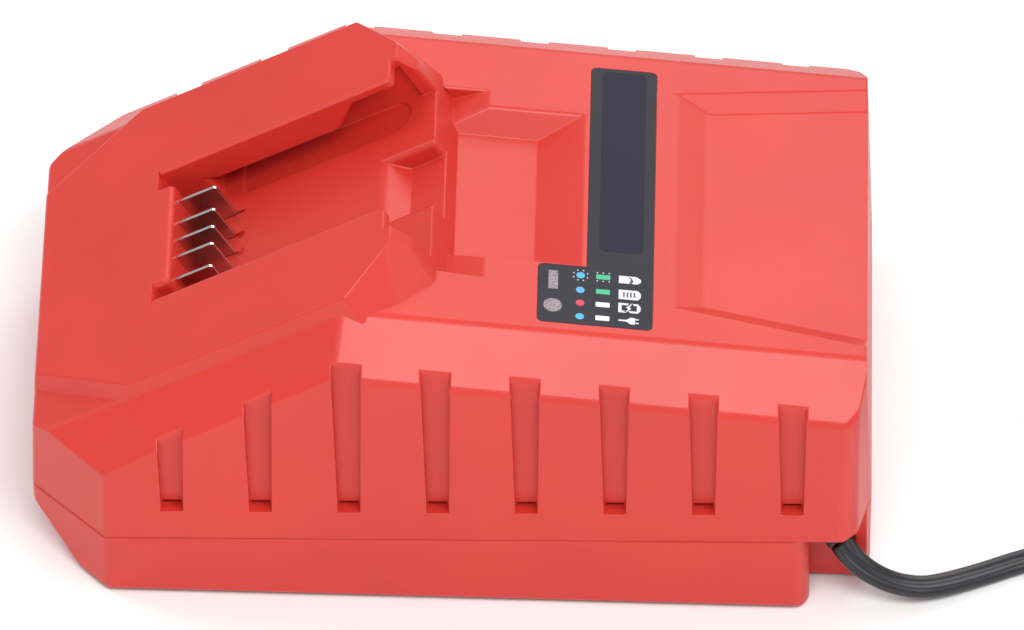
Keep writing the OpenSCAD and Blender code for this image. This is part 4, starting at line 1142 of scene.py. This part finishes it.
def bars_in_row(group, given):
    """Bars of one size, one beside the other along Y."""
    row = group.nodes.new("GeometryNodeMeshLine")
    step = group.nodes.new("ShaderNodeCombineXYZ")
    bar = group.nodes.new("GeometryNodeMeshCube")
    copies = group.nodes.new("GeometryNodeInstanceOnPoints")
    for a, b in ((given.outputs["Count"], row.inputs["Count"]),
                 (given.outputs["Spacing"], step.inputs["Y"]),
                 (step.outputs["Vector"], row.inputs["Offset"]),
                 (given.outputs["Bar"], bar.inputs["Size"]),
                 (row.outputs["Mesh"], copies.inputs["Points"]),
                 (bar.outputs["Mesh"], copies.inputs["Instance"])):
        group.links.new(a, b)
    return copies.outputs["Instances"]


ribs = repeat("grip ribs", bars_in_row, [
    ("Count", "Int", 6), ("Spacing", "Float", 0.0026),
    ("Bar", "Vector", (0.012, 0.0012, 0.0012))], boot_black)
flat_bar, upright_bar = (0.012, 0.0012, 0.0010), (0.0010, 0.0012, 0.0068)
for name, x, z, bar in (
        ("grip_top", 0, plug_t, flat_bar),
        ("grip_left", -plug_half, plug_t / 2, upright_bar),
        ("grip_right", plug_half, plug_t / 2, upright_bar)):
    repeated(name, ribs, {"Bar": bar}, Matrix.Translation(
        Vector((plug_x + x, plug_y + sleeve_l + 9.5, z)) * mm), "cord_black")

brass = metal("bright brass", (0.78, 0.6, 0.32), roughness=0.22)
pin_at, pin_half_t = 6.35, 0.75
half = [(-3, -3.15), (16, -3.15), (17.2, -2.4), (17.5, -1.4)]
bm = bmesh.new()
for m in (-1, 1):
    loft(bm, [[Vector((plug_x + m * pin_at + x,
                       plug_y + sleeve_l + plug_l + y, plug_t / 2 + z)) * mm
               for y, z in half + [(y, -z) for y, z in half[::-1]]]
              for x in (-pin_half_t, pin_half_t)])
pins = finished(bm, "pins", "pin_brass", "plug_pins", sharp=20)
coat(pins, brass)

# ---------- studio ----------
# A plain pale floor, a bright even sky, a large soft light high in front, a
# weaker one behind, and small ones low in front and at the left and right.

bm = bmesh.new()
bmesh.ops.create_grid(bm, x_segments=1, y_segments=1, size=6)
floor = as_object(bm, "floor")
floor_paint = bpy.data.materials.new("floor")
floor_paint.use_nodes = True
paint = floor_paint.node_tree.nodes["Principled BSDF"]
paint.inputs["Base Color"].default_value = (0.9, 0.9, 0.9, 1)
paint.inputs["Roughness"].default_value = 0.8
coat(floor, floor_paint)

world = bpy.data.worlds.new("studio")
bpy.context.scene.world = world
world.use_nodes = True
sky = world.node_tree.nodes["Background"]
sky.inputs["Color"].default_value = (1, 1, 1, 1)
sky.inputs["Strength"].default_value = 0.57


def soft_light(name, at, size, power, aim=(0, 0, 0.04)):
    """A rectangular light at a place, turned to a point."""
    light = bpy.data.lights.new(name, "AREA")
    light.shape = "RECTANGLE"
    light.size, light.size_y = size
    light.energy = power
    lamp = bpy.data.objects.new(name, light)
    lamp.location = at
    lamp.visible_camera = False
    lamp.rotation_euler = (Vector(aim) - Vector(at)).to_track_quat(
        "-Z", "Y").to_euler()
    bpy.context.collection.objects.link(lamp)


soft_light("front", (0.3, -0.75, 1.5), (1.2, 0.7), 18.8)
soft_light("back", (0.45, 1.25, 1.2), (1.2, 0.9), 8.3)
soft_light("left", (-0.85, 0.3, 1.1), (0.35, 0.35), 3.5)
soft_light("low", (-0.4, -1.05, 0.22), (0.9, 0.3), 1.3, aim=(0, 0, 0.06))
soft_light("right", (1.3, -0.2, 0.6), (0.5, 0.9), 2)
